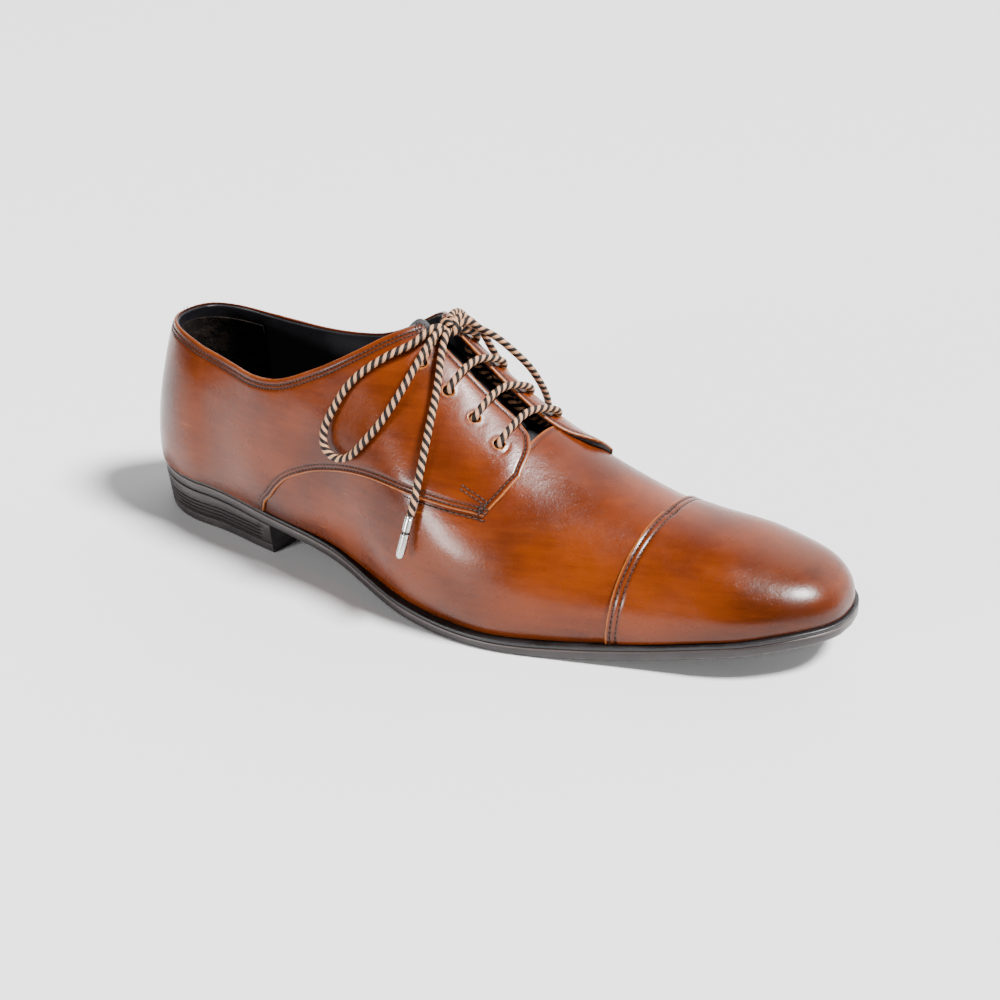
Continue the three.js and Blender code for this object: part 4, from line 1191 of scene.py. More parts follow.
class LeatherPanel:
    """A panel of the upper: its grid on the last, its edges and its heights, in millimetres."""

    PRESSED = 7.0
    GROOVE_WIDTH = 0.5

    def __init__(self, s: Array, u: Array, edges: Sequence[PanelEdge], base: float, inner: float,
                 valid: Array | None = None, press: float = 0.0, curl: Callable = no_curl) -> None:
        """Works out the panel's surface.

        Args:
            s: signed perimeters of the grid.
            u: profile positions of the grid.
            edges: the edges that are rounded, stitched or pressed down.
            base: offset of the outer face from the last.
            inner: offset of the inner face.
            valid: which grid places exist.
            press: how much lower the outer face lies at its edges.
            curl: how far the panel stands off at a place.
        """
        self.s, self.u, self.valid, self.edges, self.base, self.curl = s, u, valid, edges, base, curl
        self.points = LAST.offset(s, u, base + curl(s, u))
        self.inner = np.full(s.shape, inner) + curl(s, u)
        self.middle = np.array([float(np.median(s)), float(np.median(u))])
        outer = base + curl(s, u) + undulation(self.points)
        for edge in edges:
            d = nearest(self.points, edge.line(base))
            outer = outer - press * (1 - smoothstep(0, self.PRESSED, d)) - rounding(d, edge.round)
            for row in edge.rows:
                outer = outer - edge.groove * np.exp(-((d - row) / self.GROOVE_WIDTH) ** 2)
        self.outer = outer

    def stitch_lines(self, edge: PanelEdge, lift: float = 0.0) -> list[tuple[Array, Array]]:
        """The rows of stitches along an edge, with their outward directions."""
        lines = []
        for row in edge.rows:
            s, u = edge.moved(row, self.base, self.middle).T
            height = self.base - edge.groove * 0.8 + lift + self.curl(s, u)
            line = LAST.offset(s, u, height)
            line = line + LAST.normal(s, u) * undulation(line)[:, None]
            lines.append((line, LAST.normal(s, u)))
        return lines

    def build(self, name: str) -> Object:
        """The panel as a closed shell."""
        return shell(name, self.s, self.u, self.inner, self.outer, self.valid)


def paint(obj: Object, panel: LeatherPanel, holes: Sequence[Array] = ()) -> None:
    """Stores a panel's edge, seam and burnish marks on its mesh; the seam mark is painted shade in the stitch
    grooves and round the holes.

    Args:
        obj: the panel's mesh.
        panel: the panel.
        holes: the middles of its punched holes.
    """
    at = vertices_mm(obj)
    shown, seam = np.zeros(len(at)), np.zeros(len(at))
    for edge in panel.edges:
        d = nearest(at, edge.line(panel.base, 0.3))
        shown = np.maximum(shown, edge.shown * (1 - smoothstep(0.3, 0.85, d)))
        for row in edge.rows:
            # painted shade along each stitch groove
            seam = np.maximum(seam, np.exp(-((d - row) / 0.75) ** 2))
    for hole in holes:
        d = np.linalg.norm(at - hole, axis=1)
        shown = np.maximum(shown, 0.9 * (1 - smoothstep(2.4, 2.75, d)))
        # painted shade in the dip round each hole
        seam = np.maximum(seam, 0.6 * np.exp(-((d - 3.2) / 0.5) ** 2))
    set_attribute(obj, "edge", shown)
    set_attribute(obj, "seam", seam)
    set_attribute(obj, "burnish", burnish(at))


def burnish(at: Array) -> Array:
    """How dark the polish is rubbed: along the sole, at the toe, behind the heel and in patches."""
    x, y, z = at.T
    above = z - LAST.feather(x)
    sole = 0.4 * (1 - smoothstep(1, 12, above))
    toe = 0.25 * smoothstep(246, 296, x)
    heel = 0.35 * (1 - smoothstep(-2, 26, x))
    patches = 0.28 + 0.24 * np.sin(x / 17 + 0.6) * np.cos(z / 13 - y / 29) + 0.12 * np.sin(x / 7.7 - z / 9)
    return np.clip(sole + toe + heel + patches - 0.12, 0, 1)


@dataclass
class Uppers:
    """Quarters, vamp and toe cap, with their stitches."""

    quarter_base: float = 2.55
    cap_base: float = 2.5
    vamp_base: float = 1.2
    under: float = 1.27
    press: float = 0.2
    facing_top: float = 136.0
    seam_start: float = 70.4
    back_seam: float = 0.15
    hole_radius: float = 2.15
    seam_scale: float = 80.0
    seam_points: tuple = (
        (70.4, 0), (72.8, 0.07), (76.8, 0.115), (80.5, 0.16), (86, 0.206), (96.5, 0.255), (113, 0.31),
        (133, 0.37), (150.5, 0.412), (165, 0.453), (179, 0.495), (190, 0.505))
    topline: dict[Side, Curve] = field(default_factory=lambda: {
        LATERAL: table((0, 75.4), (41, 74.1), (57, 71.4), (73, 70.4), (85, 70.1), (97, 71.6), (113, 78.1),
                       (126.5, 85.1), (134, 89.4), (140, 93.1), (146, 95.6), (155, 96.7)),
        MEDIAL: table((0, 75.4), (15, 75.1), (24, 73.6), (43, 70.1), (60, 69.1), (71, 68.7), (83, 69.1),
                      (95, 70.8), (107, 73.6), (120, 79.6), (130, 85.6), (140, 91.6), (148, 95.4),
                      (155, 96.7))})
    facing: dict[Side, float] = field(default_factory=lambda: {LATERAL: 0.9, MEDIAL: 0.965})
    nose: dict[Side, float] = field(default_factory=lambda: {LATERAL: 184.8, MEDIAL: 197.0})
    corner: dict[Side, float] = field(default_factory=lambda: {LATERAL: 179.0, MEDIAL: 190.0})
    front_upper: dict[Side, Curve] = field(default_factory=lambda: {
        LATERAL: table((165, 0.9), (175, 0.89), (180, 0.86), (183.2, 0.79), (184.8, 0.7)),
        MEDIAL: table((172, 0.965), (182, 0.94), (190, 0.88), (195, 0.8), (197, 0.7))})
    front_lower: dict[Side, tuple] = field(default_factory=lambda: {
        LATERAL: ((179, 0.495), (182.2, 0.59), (184.8, 0.7)),
        MEDIAL: ((190, 0.505), (194.4, 0.59), (197, 0.7))})
    lace_places: dict[Side, tuple] = field(default_factory=lambda: {
        LATERAL: ((172.9, 0.75), (161.5, 0.765), (149.6, 0.77), (137.2, 0.775)),
        MEDIAL: ((178, 0.83), (166.3, 0.835), (154.4, 0.84), (142, 0.84))})
    wing_end: float = 67.5
    throat: float = 178.0
    throat_skew: float = 6.0
    cap_line: float = 228.4
    cap_crown: float = 3.0
    cap_overlap: float = 8.0

    def __post_init__(self) -> None:
        """Rounds the seam line, whose first points rise steeply from the welt."""
        points = np.array(self.seam_points) * (1.0, self.seam_scale)
        line = catmull_rom(points, 0.4) / (1.0, self.seam_scale)
        self.seam_line = lambda x: np.interp(x, line[:, 0], line[:, 1])

    def top_of(self, side: Side, run: Array, drop: float = 0.0) -> Array:
        """Profile position of a quarter's upper edge."""
        x = LAST.station(run)
        top = np.minimum(LAST.profile_at(side.value * run, self.topline[side](run), drop), self.facing[side])
        return np.where(x <= self.facing_top, top, self.front_upper[side](x))

    def foot_of(self, side: Side, run: Array) -> Array:
        """Profile position of a quarter's lower edge."""
        x = LAST.station(run)
        low = np.interp(x, *np.array(self.front_lower[side]).T)
        return np.where(x <= self.seam_start, 0, np.where(x <= self.corner[side], self.seam_line(x), low))

    def quarter_edges(self, side: Side) -> dict[str, PanelEdge]:
        """The four worked edges of a quarter."""
        sign = side.value
        seam_x = np.arange(self.seam_start + 0.4, self.corner[side] + 0.01, 0.4)
        low_x = np.linspace(self.corner[side], self.nose[side], 24)
        high_x = np.concatenate([np.linspace(self.nose[side], self.nose[side] - 8, 40)[1:],
                                 np.arange(self.nose[side] - 8.5, self.facing_top, -0.5)])
        top_run = np.arange(self.back_seam, LAST.along(self.facing_top), 0.5)
        lower = np.column_stack([sign * LAST.along(seam_x), self.seam_line(seam_x)])
        front = np.column_stack([
            sign * LAST.along(np.concatenate([low_x, high_x])),
            np.concatenate([self.foot_of(side, LAST.along(low_x)), self.front_upper[side](high_x)])])
        top = np.column_stack([sign * top_run, self.top_of(side, top_run)])
        back_u = np.linspace(0.02, float(self.top_of(side, np.array([self.back_seam]))[0]), 80)
        back = np.column_stack([np.full(80, sign * self.back_seam), back_u])
        curl = corner_curl if side is MEDIAL else no_curl
        return {"lower": PanelEdge(lower, (1.4, 2.9), 0.7, groove=0.3),
                "front": PanelEdge(front, (2.1,), 1.0, 0.7, 0.32, curl),
                "top": PanelEdge(top, (2.4, 3.9), 0.35, 0.8, 0.16),
                "back": PanelEdge(back, (0.9,), 0.15, 0.3, 0.08)}

    def quarter(self, side: Side, maker: StitchMaker) -> None:
        """One quarter with its punched holes and its stitches."""
        front = self.nose[side]
        runs = np.concatenate([self.back_seam + np.array(NEAR_EDGE[:10]),
                               np.arange(2.6, LAST.along(self.seam_start), 1.3),
                               LAST.along(np.arange(self.seam_start, self.facing_top - 3, 1.1)),
                               LAST.along(np.arange(self.facing_top - 3, self.facing_top + 2, 0.35)),
                               LAST.along(np.arange(self.facing_top + 2, front - 9, 1.0)),
                               LAST.along(np.linspace(front - 9, front, 44))])
        s = side.value * runs
        u = across_columns(s, self.foot_of(side, runs), self.top_of(side, runs), 30)
        edges = self.quarter_edges(side)
        panel = LeatherPanel(np.repeat(s[:, None], u.shape[1], axis=1), u, list(edges.values()),
                             self.quarter_base, self.under, press=self.press, curl=edges["front"].curl)
        middles = self.hole_middles(side, self.quarter_base)
        for middle in middles:
            d = np.linalg.norm(panel.points - middle, axis=-1)
            panel.outer = panel.outer + 0.16 * np.exp(-((d - self.hole_radius - 0.3) / 0.45) ** 2)
            panel.outer = panel.outer - 0.12 * np.exp(-((d - self.hole_radius - 1.5) / 0.8) ** 2)
        obj = panel.build(f"{side.label}_quarter_panel")
        self.punch(obj, side)
        paint(obj, panel, middles)
        finished(obj, FINISHES.calf, replaces=[f"quarter_{side.label}"])
        front_rows = [*panel.stitch_lines(edges["front"], -self.press * 0.5), *self.bar_tack(side)]
        for what, rows, style in (
                ("quarter_seams", panel.stitch_lines(edges["lower"], -self.press), StitchStyle()),
                ("topline_stitches", panel.stitch_lines(edges["top"]), StitchStyle(1.7, 0.68, 0.24, 0.34)),
                ("facing_stitches", front_rows, StitchStyle(2.0, 0.72, 0.29, 0.38)),
                ("back_seam_stitches", panel.stitch_lines(edges["back"]),
                 StitchStyle(1.2, 0.62, 0.14, 0.16))):
            maker.sew(f"{side.label}_{what}", rows, style)
        log.info("%s quarter done", side.label)

    def bar_tack(self, side: Side) -> list[tuple[Array, Array]]:
        """The tack that ties the seam to the front edge: back along the seam, then down to the corner."""
        x = np.array([-10.7, -7.0, -3.5, -0.8, -2.0]) + self.corner[side]
        u = np.array([0.532, 0.533, 0.534, 0.531, 0.512])
        lines = []
        for shift in (0.0, 0.014):
            s = side.value * LAST.along(x)
            line = catmull_rom(LAST.offset(s, u + shift, self.quarter_base), 0.3)
            out = np.repeat(LAST.normal(s[2:3], u[2:3]), len(line), axis=0)
            lines.append((line + out * undulation(line)[:, None], out))
        return lines

    def hole_middles(self, side: Side, out: float) -> list[Array]:
        """The middles of the lace holes at an offset from the last."""
        return [LAST.spot(side, x, u, out) for x, u in self.lace_places[side]]

    def punch(self, obj: Object, side: Side) -> None:
        """Cuts the lace holes through a panel."""
        for x, u in self.lace_places[side]:
            circle = circle_across(LAST.normal(side.value * LAST.along(x), u), 28)
            ends = [LAST.spot(side, x, u, out) for out in (-6.0, 6.0)]
            cutter = loft("lace_punch", np.stack([end + circle * self.hole_radius for end in ends]))
            modifier = obj.modifiers.new("hole", "BOOLEAN")
            modifier.operation, modifier.solver, modifier.object = "DIFFERENCE", "EXACT", cutter
            apply_modifiers(obj)
            bpy.data.objects.remove(cutter)

    def vamp(self, maker: StitchMaker) -> None:
        """The vamp, from its wings under the quarters to its end under the toe cap."""
        skew = table((self.wing_end, 0), (150, 0), (self.throat, 1), (217, 0.1), (224, 0))
        crown = table((217, 0), (224, self.cap_crown))
        rows = np.concatenate([np.arange(self.wing_end, 150, 1.8), np.arange(150, self.throat, 1.0),
                               self.throat + np.array(NEAR_EDGE[:12]),
                               np.arange(self.throat + 3.4, self.cap_line + self.cap_overlap, 1.0)])
        wing_columns, ridge_columns = 26, 20
        top = np.where(rows <= self.seam_start, 0.042 + 0.02 * (rows - self.wing_end),
                       self.seam_line(rows) + 0.07)[:, None]
        t_ridge = np.linspace(0, 1, ridge_columns + 1)[1:]
        u_half = np.hstack([top * np.linspace(0, 1, wing_columns + 1), top + (1 - top) * t_ridge])
        halves = []
        for side in Side:
            aside = u_half / 2 if side is LATERAL else 1 - u_half / 2
            x = rows[:, None] + self.throat_skew * skew(rows)[:, None] * aside + crown(rows)[:, None] * u_half
            halves.append(side.value * LAST.along(x))
        s, u = joined(*halves), joined(u_half, u_half)
        columns = np.arange(u.shape[1])
        ridge = (columns > wing_columns) & (columns < u.shape[1] - 1 - wing_columns)
        valid = ~((rows[:, None] < self.throat - 0.01) & ridge[None])
        first = int(np.argmax(rows >= self.throat - 0.01))
        edge = PanelEdge(np.column_stack([s[first][ridge], u[first][ridge]]), (1.8,), 0.6, 0.4, 0.1)
        edge.places = edge.places[np.abs(edge.places[:, 1]) < 0.999]
        panel = LeatherPanel(s, u, [edge], self.vamp_base, 0.0, valid)
        obj = panel.build("vamp_panel")
        paint(obj, panel)
        finished(obj, FINISHES.calf, replaces=["vamp"])
        x = np.linspace(148, self.corner[LATERAL] - 0.5, 60)
        below = PanelEdge(np.column_stack([-LAST.along(x), self.seam_line(x)]))
        s_row, u_row = below.moved(1.25, self.vamp_base, np.array([-LAST.along(165.0), 0.2])).T
        line = LAST.offset(s_row, u_row, self.vamp_base + 0.1)
        maker.sew("vamp_reinforcing_stitches", [(line, LAST.normal(s_row, u_row))],
                  StitchStyle(2.4, 0.78, 0.3, 0.36))

    def toe_cap(self, maker: StitchMaker) -> None:
        """The toe cap with its turned edge and two rows of stitches."""
        start = self.cap_line
        rows = np.concatenate([start + np.array(NEAR_EDGE), np.arange(start + 7, TOE_START, 1.2),
                               toward_tip(54)])
        u_half = np.repeat(np.linspace(0, 1, 46)[None], len(rows), axis=0)
        crown = (self.cap_crown * (1 - smoothstep(start, TOE_START, rows)))[:, None]
        run = LAST.along(np.minimum(rows[:, None] + crown * u_half, LAST.length))
        s, u = joined(-run, run), joined(u_half, u_half)
        edges = []
        for side in Side:
            v = np.linspace(0.0, 0.998, 120)
            edges.append(PanelEdge(np.column_stack([side.value * LAST.along(start + self.cap_crown * v), v]),
                                   (1.7, 3.9), 0.8, 0.6, 0.34))
        panel = LeatherPanel(s, u, edges, self.cap_base, self.under, press=0.1)
        obj = panel.build("toe_cap_panel")
        paint(obj, panel)
        finished(obj, FINISHES.calf, replaces=["toe_cap"])
        lines = []
        for edge in edges:
            panel.middle = np.array([math.copysign(LAST.along(260.0), edge.places[0, 0]), 0.5])
            lines += panel.stitch_lines(edge, -0.1)
        maker.sew("toe_cap_stitches", lines, StitchStyle(2.2, 0.68, 0.28, 0.4))

    def build(self) -> None:
        """Makes and dresses every panel."""
        maker = StitchMaker()
        for side in Side:
            self.quarter(side, maker)
        self.vamp(maker)
        self.toe_cap(maker)


def apply_modifiers(obj: Object) -> None:
    """Replaces an object's mesh by its evaluated mesh and removes its modifiers."""
    bpy.context.view_layer.update()
    graph = bpy.context.evaluated_depsgraph_get()
    mesh = bpy.data.meshes.new_from_object(obj.evaluated_get(graph))
    mesh.name = obj.name
    obj.modifiers.clear()
    obj.data = mesh


# ------------------------------------------------------------------ inside the shoe
@dataclass
class Inside:
    """Linings, heel grip and the tongue."""

    uppers: Uppers
    lining_thickness: float = 1.0
    lining_level: float = -0.5
    lining_rise: float = 1.68
    lining_ends: dict[Side, float] = field(default_factory=lambda: {LATERAL: 176.0, MEDIAL: 181.0})
    lining_rim: float = 0.45
    grip_reach: float = 39.5
    grip_foot: float = 32.0
    grip_thickness: float = 0.6
    tongue_face: float = -5.7
    tongue_thickness: float = 1.2
    tongue_start: float = 125.5
    tongue_end: float = 184.0
    tongue_round: float = 13.0
    tongue_feet: dict[Side, float] = field(default_factory=lambda: {LATERAL: 0.72, MEDIAL: 0.74})
    tongue_rim: float = 0.5

    def lining_face(self, s: Array, u: Array, side: Side) -> Array:
        """Offset of a quarter lining's outer face: it rises to meet the quarter near the top edge."""
        edges = self.uppers.quarter_edges(side)
        at = LAST.offset(s, u, self.lining_level)
        d = np.minimum(nearest(at, edges["top"].line(0.5, 0.5)), nearest(at, edges["front"].line(0.5, 0.5)))
        return self.lining_level + self.lining_rise * (1 - smoothstep(2.5, 15, d))

    def quarter_lining(self, side: Side) -> None:
        """The lining of one quarter, punched for the lace."""
        end = LAST.along(self.lining_ends[side])
        runs = np.concatenate([[0.15, 0.4, 0.9], np.arange(2.0, end - 1, 1.8), [end]])
        s = side.value * runs
        at_facing = LAST.station(runs) > self.uppers.facing_top - 2
        top = self.uppers.top_of(side, runs, 0.7) - np.where(at_facing, 0.01, 0)
        u = across_columns(s, np.zeros(len(runs)), top, 14)
        s = np.repeat(s[:, None], u.shape[1], axis=1)
        outer = self.lining_face(s, u, side)
        d = nearest(LAST.offset(s, u, 0.0), resample(LAST.offset(s[:, -1], u[:, -1], 0.0), 0.3))
        inner = outer - self.lining_thickness + rounding(d, self.lining_rim) * 0.9
        obj = shell(f"{side.label}_lining_panel", s, u, inner, outer)
        self.uppers.punch(obj, side)
        finished(obj, FINISHES.lining, replaces=[f"quarter_lining_{side.label}"])

    def tab_lining(self) -> None:
        """The black facing that shows under the curled corner of the medial quarter."""
        x = np.linspace(182.5, self.uppers.nose[MEDIAL] - 0.5, 24)
        runs = LAST.along(x)
        low = np.maximum(self.uppers.foot_of(MEDIAL, runs) + 0.03, 0.6)
        high = self.uppers.top_of(MEDIAL, runs) - 0.004
        share = np.linspace(0, 1, 16)
        u = low[:, None] + np.maximum(high - low, 0.004)[:, None] * share
        s = np.repeat(runs[:, None], 16, axis=1)
        curl = corner_curl(s, u)
        obj = shell("medial_tab_lining", s, u, 1.2 + 0.35 * curl, 1.25 + 0.98 * curl)
        finished(obj, FINISHES.lining)

    def vamp_lining(self) -> None:
        """The fabric that lines the forepart."""
        rows = np.concatenate([np.arange(self.uppers.throat, TOE_START, 2.5), toward_tip(30)])
        skew = table((self.uppers.throat, 1), (217, 0.1), (224, 0))
        half = np.repeat(np.linspace(0, 1, 25)[None], len(rows), axis=0)
        runs = []
        for side in Side:
            aside = half / 2 if side is LATERAL else 1 - half / 2
            x = rows[:, None] + self.uppers.throat_skew * skew(rows)[:, None] * aside
            runs.append(side.value * LAST.along(x))
        s = joined(*runs)
        face = np.full(s.shape, self.lining_level)
        obj = shell("vamp_lining_cloth", s, joined(half, half), face - self.lining_thickness, face)
        finished(obj, FINISHES.fabric, replaces=["vamp_lining"])

    def heel_grip(self) -> None:
        """The suede patch behind the heel."""
        runs = np.linspace(-self.grip_reach, self.grip_reach, 61)
        low = LAST.profile_at(np.zeros(61), np.full(61, self.grip_foot))
        high = LAST.profile_at(runs, self.uppers.topline[MEDIAL](np.abs(runs)), 5.0)
        u = across_columns(runs, low, high, 12)
        s = np.repeat(runs[:, None], u.shape[1], axis=1)
        face = np.minimum(self.lining_face(s, u, LATERAL), self.lining_face(s, u, MEDIAL))
        face = face - self.lining_thickness - 0.06
        nap = 0.12 * np.sin(s * 1.9 + 3 * np.sin(u * 21)) * np.sin(u * 67 + s / 3)
        obj = shell("heel_grip_patch", s, u, face - self.grip_thickness + nap, face)
        finished(obj, FINISHES.suede, replaces=["heel_grip"])

    def tongue(self) -> None:
        """The tongue and its lining, with a rounded top end."""
        x = np.concatenate([self.tongue_start + np.array(NEAR_EDGE),
                            np.arange(self.tongue_start + 7, self.tongue_end, 1.2), [self.tongue_end]])
        close = rounding(np.clip((x - self.tongue_start) / self.tongue_round, 0, 1), 1.0)
        t = np.linspace(0, 1, 30)
        feet = [self.tongue_feet[side] + 0.14 * close for side in Side]
        u = joined(*(foot[:, None] + (1 - foot)[:, None] * t[None] for foot in feet))
        s = joined(*(np.repeat((side.value * LAST.along(x))[:, None], len(t), axis=1) for side in Side))
        at = LAST.offset(s, u, self.tongue_face)
        border = np.vstack([at[:, 0][::-1], at[0], at[:, -1]])
        d = nearest(at, resample(border, 0.25))
        drop = rounding(d, self.tongue_rim) + 0.15 * np.exp(-((d - 2.2) / 0.4) ** 2)
        sag = 0.25 * np.sin(s / 6.0) * np.sin(u * 17)
        top = self.tongue_face - drop + sag * smoothstep(1, 5, d)
        back = np.full(s.shape, self.tongue_face - self.tongue_thickness)
        obj = shell("tongue_leather_panel", s, u, back, top)
        finished(obj, FINISHES.tongue, Body.TONGUE, ["tongue"])
        face = back - 0.05
        lining = shell("tongue_lining_panel", s, u, face - self.lining_thickness, face)
        finished(lining, FINISHES.lining, Body.TONGUE, ["tongue_lining"])

    def build(self) -> None:
        """Makes and dresses every piece inside."""
        for side in Side:
            self.quarter_lining(side)
        self.tab_lining()
        self.vamp_lining()
        self.heel_grip()
        self.tongue()


# ------------------------------------------------------------------ the bottom
@dataclass
class Bottom:
    """Welt, outsole, heel and sock, all drawn from the feather line."""

    margin_heel: float = 1.6
    margin_toe: float = 4.2
    welt: float = 1.6
    welt_inside: float = 4.5
    outsole: float = 3.7
    breast: float = 72.0
    seat: float = 15.9
    taper: float = 2.0
    top_piece: float = 4.0
    groove_count: int = 4
    groove_pitch: float = 1.75
    groove_depth: float = 0.42

    def margin(self, run: Array) -> Array:
        """How far the sole stands out past the feather line."""
        return np.interp(run, [0, LAST.along(80), LAST.along(150), LAST.reach],
                         [self.margin_heel, self.margin_heel, self.margin_toe, self.margin_toe])

    def runs(self, end: float, step: float = 1.6) -> Array:
        """Perimeters of the rings from the heel's back to an end, closer together at the heel and the toe."""
        heel = LAST.heel_arc * np.linspace(0, 1, 34) ** 1.5
        toe_run = LAST.along(TOE_START)
        middle = np.arange(LAST.heel_arc + step, toe_run, step)
        toe = LAST.reach - (LAST.reach - toe_run) * (1 - np.linspace(0, 1, 46)) ** 2.0
        every = np.concatenate([heel, middle, toe])
        return np.append(every[every < end - 0.5], end)

    @staticmethod
    def rings(runs: Array, outs: Sequence[Array], heights: Sequence[Array]) -> Array:
        """Rings across the shoe: the lateral profile from top to bottom, then the medial one back up.

        Args:
            runs: perimeter of each ring.
            outs: for each place of the profile, its margin, the same in every ring or not.
            heights: for each place of the profile, its height, likewise.

        Returns:
            The points by ring and place.
        """
        sides = []
        for sign in (-1.0, 1.0):
            places = []
            for out, z in zip(outs, heights):
                at = LAST.outline(runs, sign, np.broadcast_to(out, runs.shape))
                at[:, 2] = z
                places.append(at)
            sides.append(places)
        return np.stack([*sides[0], *sides[1][::-1]], axis=1)

    def foot(self, runs: Array) -> Array:
        """Height of the feather line at each run."""
        return LAST.point(runs, 0)[..., 2] - LAST.gap

    def outsole_piece(self) -> None:
        """The outsole with its worked edge and a channel line underneath."""
        runs = self.runs(LAST.reach)
        margin, foot = self.margin(runs), self.foot(runs)
        top = foot - self.welt - 0.12
        low = np.maximum(0, foot - LAST.sole_stack)
        # margin back from the sole's edge, share of the height from the top, and rise above that
        profile = ((-1.4, 0, 0), (-0.55, 0, 0), (-0.2, 0.03, 0), (-0.02, 0.1, 0), (0.05, 0.24, 0),
                   (0.02, 0.5, 0), (-0.05, 0.75, 0), (-0.2, 0.9, 0), (-0.45, 0.98, 0), (-0.9, 1, 0),
                   (-4.6, 1, 0), (-4.85, 1, 0.25), (-5.15, 1, 0.25), (-5.4, 1, 0), (-9, 1, 0))
        outs = [margin + back for back, _, _ in profile]
        heights = [top + (low - top) * share + rise for _, share, rise in profile]
        obj = loft("outsole_leather", self.rings(runs, outs, heights), smooth_angle=50)
        at = vertices_mm(obj)
        feather = LAST.feather(at[:, 0])
        # rim: painted highlight along the rounded top corner of the sole's edge
        rim = np.exp(-((feather - self.welt - 0.45 - at[:, 2]) / 0.28) ** 2)
        set_attribute(obj, "rim", rim)
        set_attribute(obj, "dark", np.zeros(len(at)))
        finished(obj, FINISHES.sole, replaces=["outsole"])

    def welt_piece(self) -> None:
        """The welt, a strip all round with rounded edges and a faint wheel mark on top."""
        half = self.runs(LAST.reach, 1.3)
        runs = np.concatenate([half, half[-2:0:-1]])
        sign = np.concatenate([np.full(len(half), -1.0), np.full(len(half) - 2, 1.0)])
        margin = self.margin(runs)
        profile = ((None, 0.0), (-1.9, 0.0), (-1.6, 0.1), (-1.3, 0.0), (-0.5, 0.0), (-0.18, 0.1), (0.0, 0.42),
                   (0.0, 1.1), (-0.15, 1.45), (-0.5, 1.6), (None, 1.6))
        places = []
        for back, drop in profile:
            out = np.full(len(runs), -self.welt_inside) if back is None else margin + back
            s = sign * runs
            at = LAST.point(s, 0)
            z = at[:, 2] - LAST.gap
            at = at + LAST.normal(s, 0) * out[:, None]
            at[:, 2] = (LAST.feather(at[:, 0]) if back is None else z) - drop
            places.append(at)
        obj = loft("welt_strip", np.stack(places, axis=1), closed=True, smooth_angle=50)
        finished(obj, FINISHES.welt, replaces=["welt"])

    def heel(self) -> None:
        """The heel block with its grooves, and the top piece under it."""
        runs = self.runs(LAST.along(self.breast), 1.2)
        foot = self.foot(runs)

        def out_at(z: Array) -> Array:
            """Margin of the heel at a height."""
            return self.margin_heel - self.taper * (1 - z / self.seat)

        top = foot - LAST.sole_stack - 0.04
        stop = 1 - smoothstep(LAST.along(self.breast - 6), LAST.along(self.breast - 4), runs)
        heights = [top, top - 0.25, top - 0.5]
        sinks = [0.5, 0.12, 0.0]
        first = self.top_piece + 1.35
        for k in range(self.groove_count)[::-1]:
            middle = first + k * self.groove_pitch
            for rise, sink in ((0.42, 0), (0.26, 0.6), (0.0, 1.0), (-0.26, 0.6), (-0.42, 0)):
                heights.append(middle + rise)
                sinks.append(sink * self.groove_depth * stop)
        heights += [self.top_piece + rise for rise in (0.5, 0.3, 0.05)]
        sinks += [0.0, 0.25, 0.4]
        outs = [out_at(z) - sink for z, sink in zip(heights, sinks)]
        block = loft("heel_stack", self.rings(runs, outs, heights), smooth_angle=50)
        at = vertices_mm(block)
        z = at[:, 2]
        set_attribute(block, "rim", np.zeros(len(at)))
        # dark: painted shade at the join with the top piece and in each groove
        dark = np.exp(-((z - self.top_piece - 0.2) / 0.35) ** 2)
        before = 1 - smoothstep(self.breast - 6.5, self.breast - 4.5, at[:, 0])
        for k in range(self.groove_count):
            dark = np.maximum(dark, 0.9 * before * np.exp(-((z - first - k * self.groove_pitch) / 0.24) ** 2))
        set_attribute(block, "dark", dark)
        finished(block, FINISHES.sole, replaces=["heel_block"])
        levels = ((4.0, 0.45), (3.85, 0.12), (3.6, 0.0), (2.2, 0.0), (0.6, 0.0), (0.2, 0.12), (0.0, 0.45))
        heights = [*(z for z, _ in levels), 0.0, 0.35, 0.35, 0.0, 0.0]
        outs = [*(out_at(z) - sink for z, sink in levels), -5.0, -5.3, -6.1, -6.4, -9.0]
        lift = loft("heel_top_lift", self.rings(runs, outs, heights), smooth_angle=50)
        finished(lift, FINISHES.rubber, replaces=["heel_top_piece"])

    def sock(self) -> None:
        """The sock inside, with a softly rounded edge."""
        runs = self.runs(LAST.reach - 4)
        foot = self.foot(runs)
        base = foot + LAST.gap + 2.0 + 0.3
        outs = [-3.1 - back for back in (9.0, 2.0, 0.6, 0.15, 0.0, 0.0, 9.0)]
        heights = [base + rise for rise in (1.2, 1.2, 1.15, 0.95, 0.7, 0.0, 0.0)]
        obj = loft("sock_sheet", self.rings(runs, outs, heights), smooth_angle=50)
        finished(obj, FINISHES.lining, replaces=["sock_liner"])

    def build(self) -> None:
        """Makes and dresses every piece of the bottom."""
        self.outsole_piece()
        self.welt_piece()
        self.heel()
        self.sock()


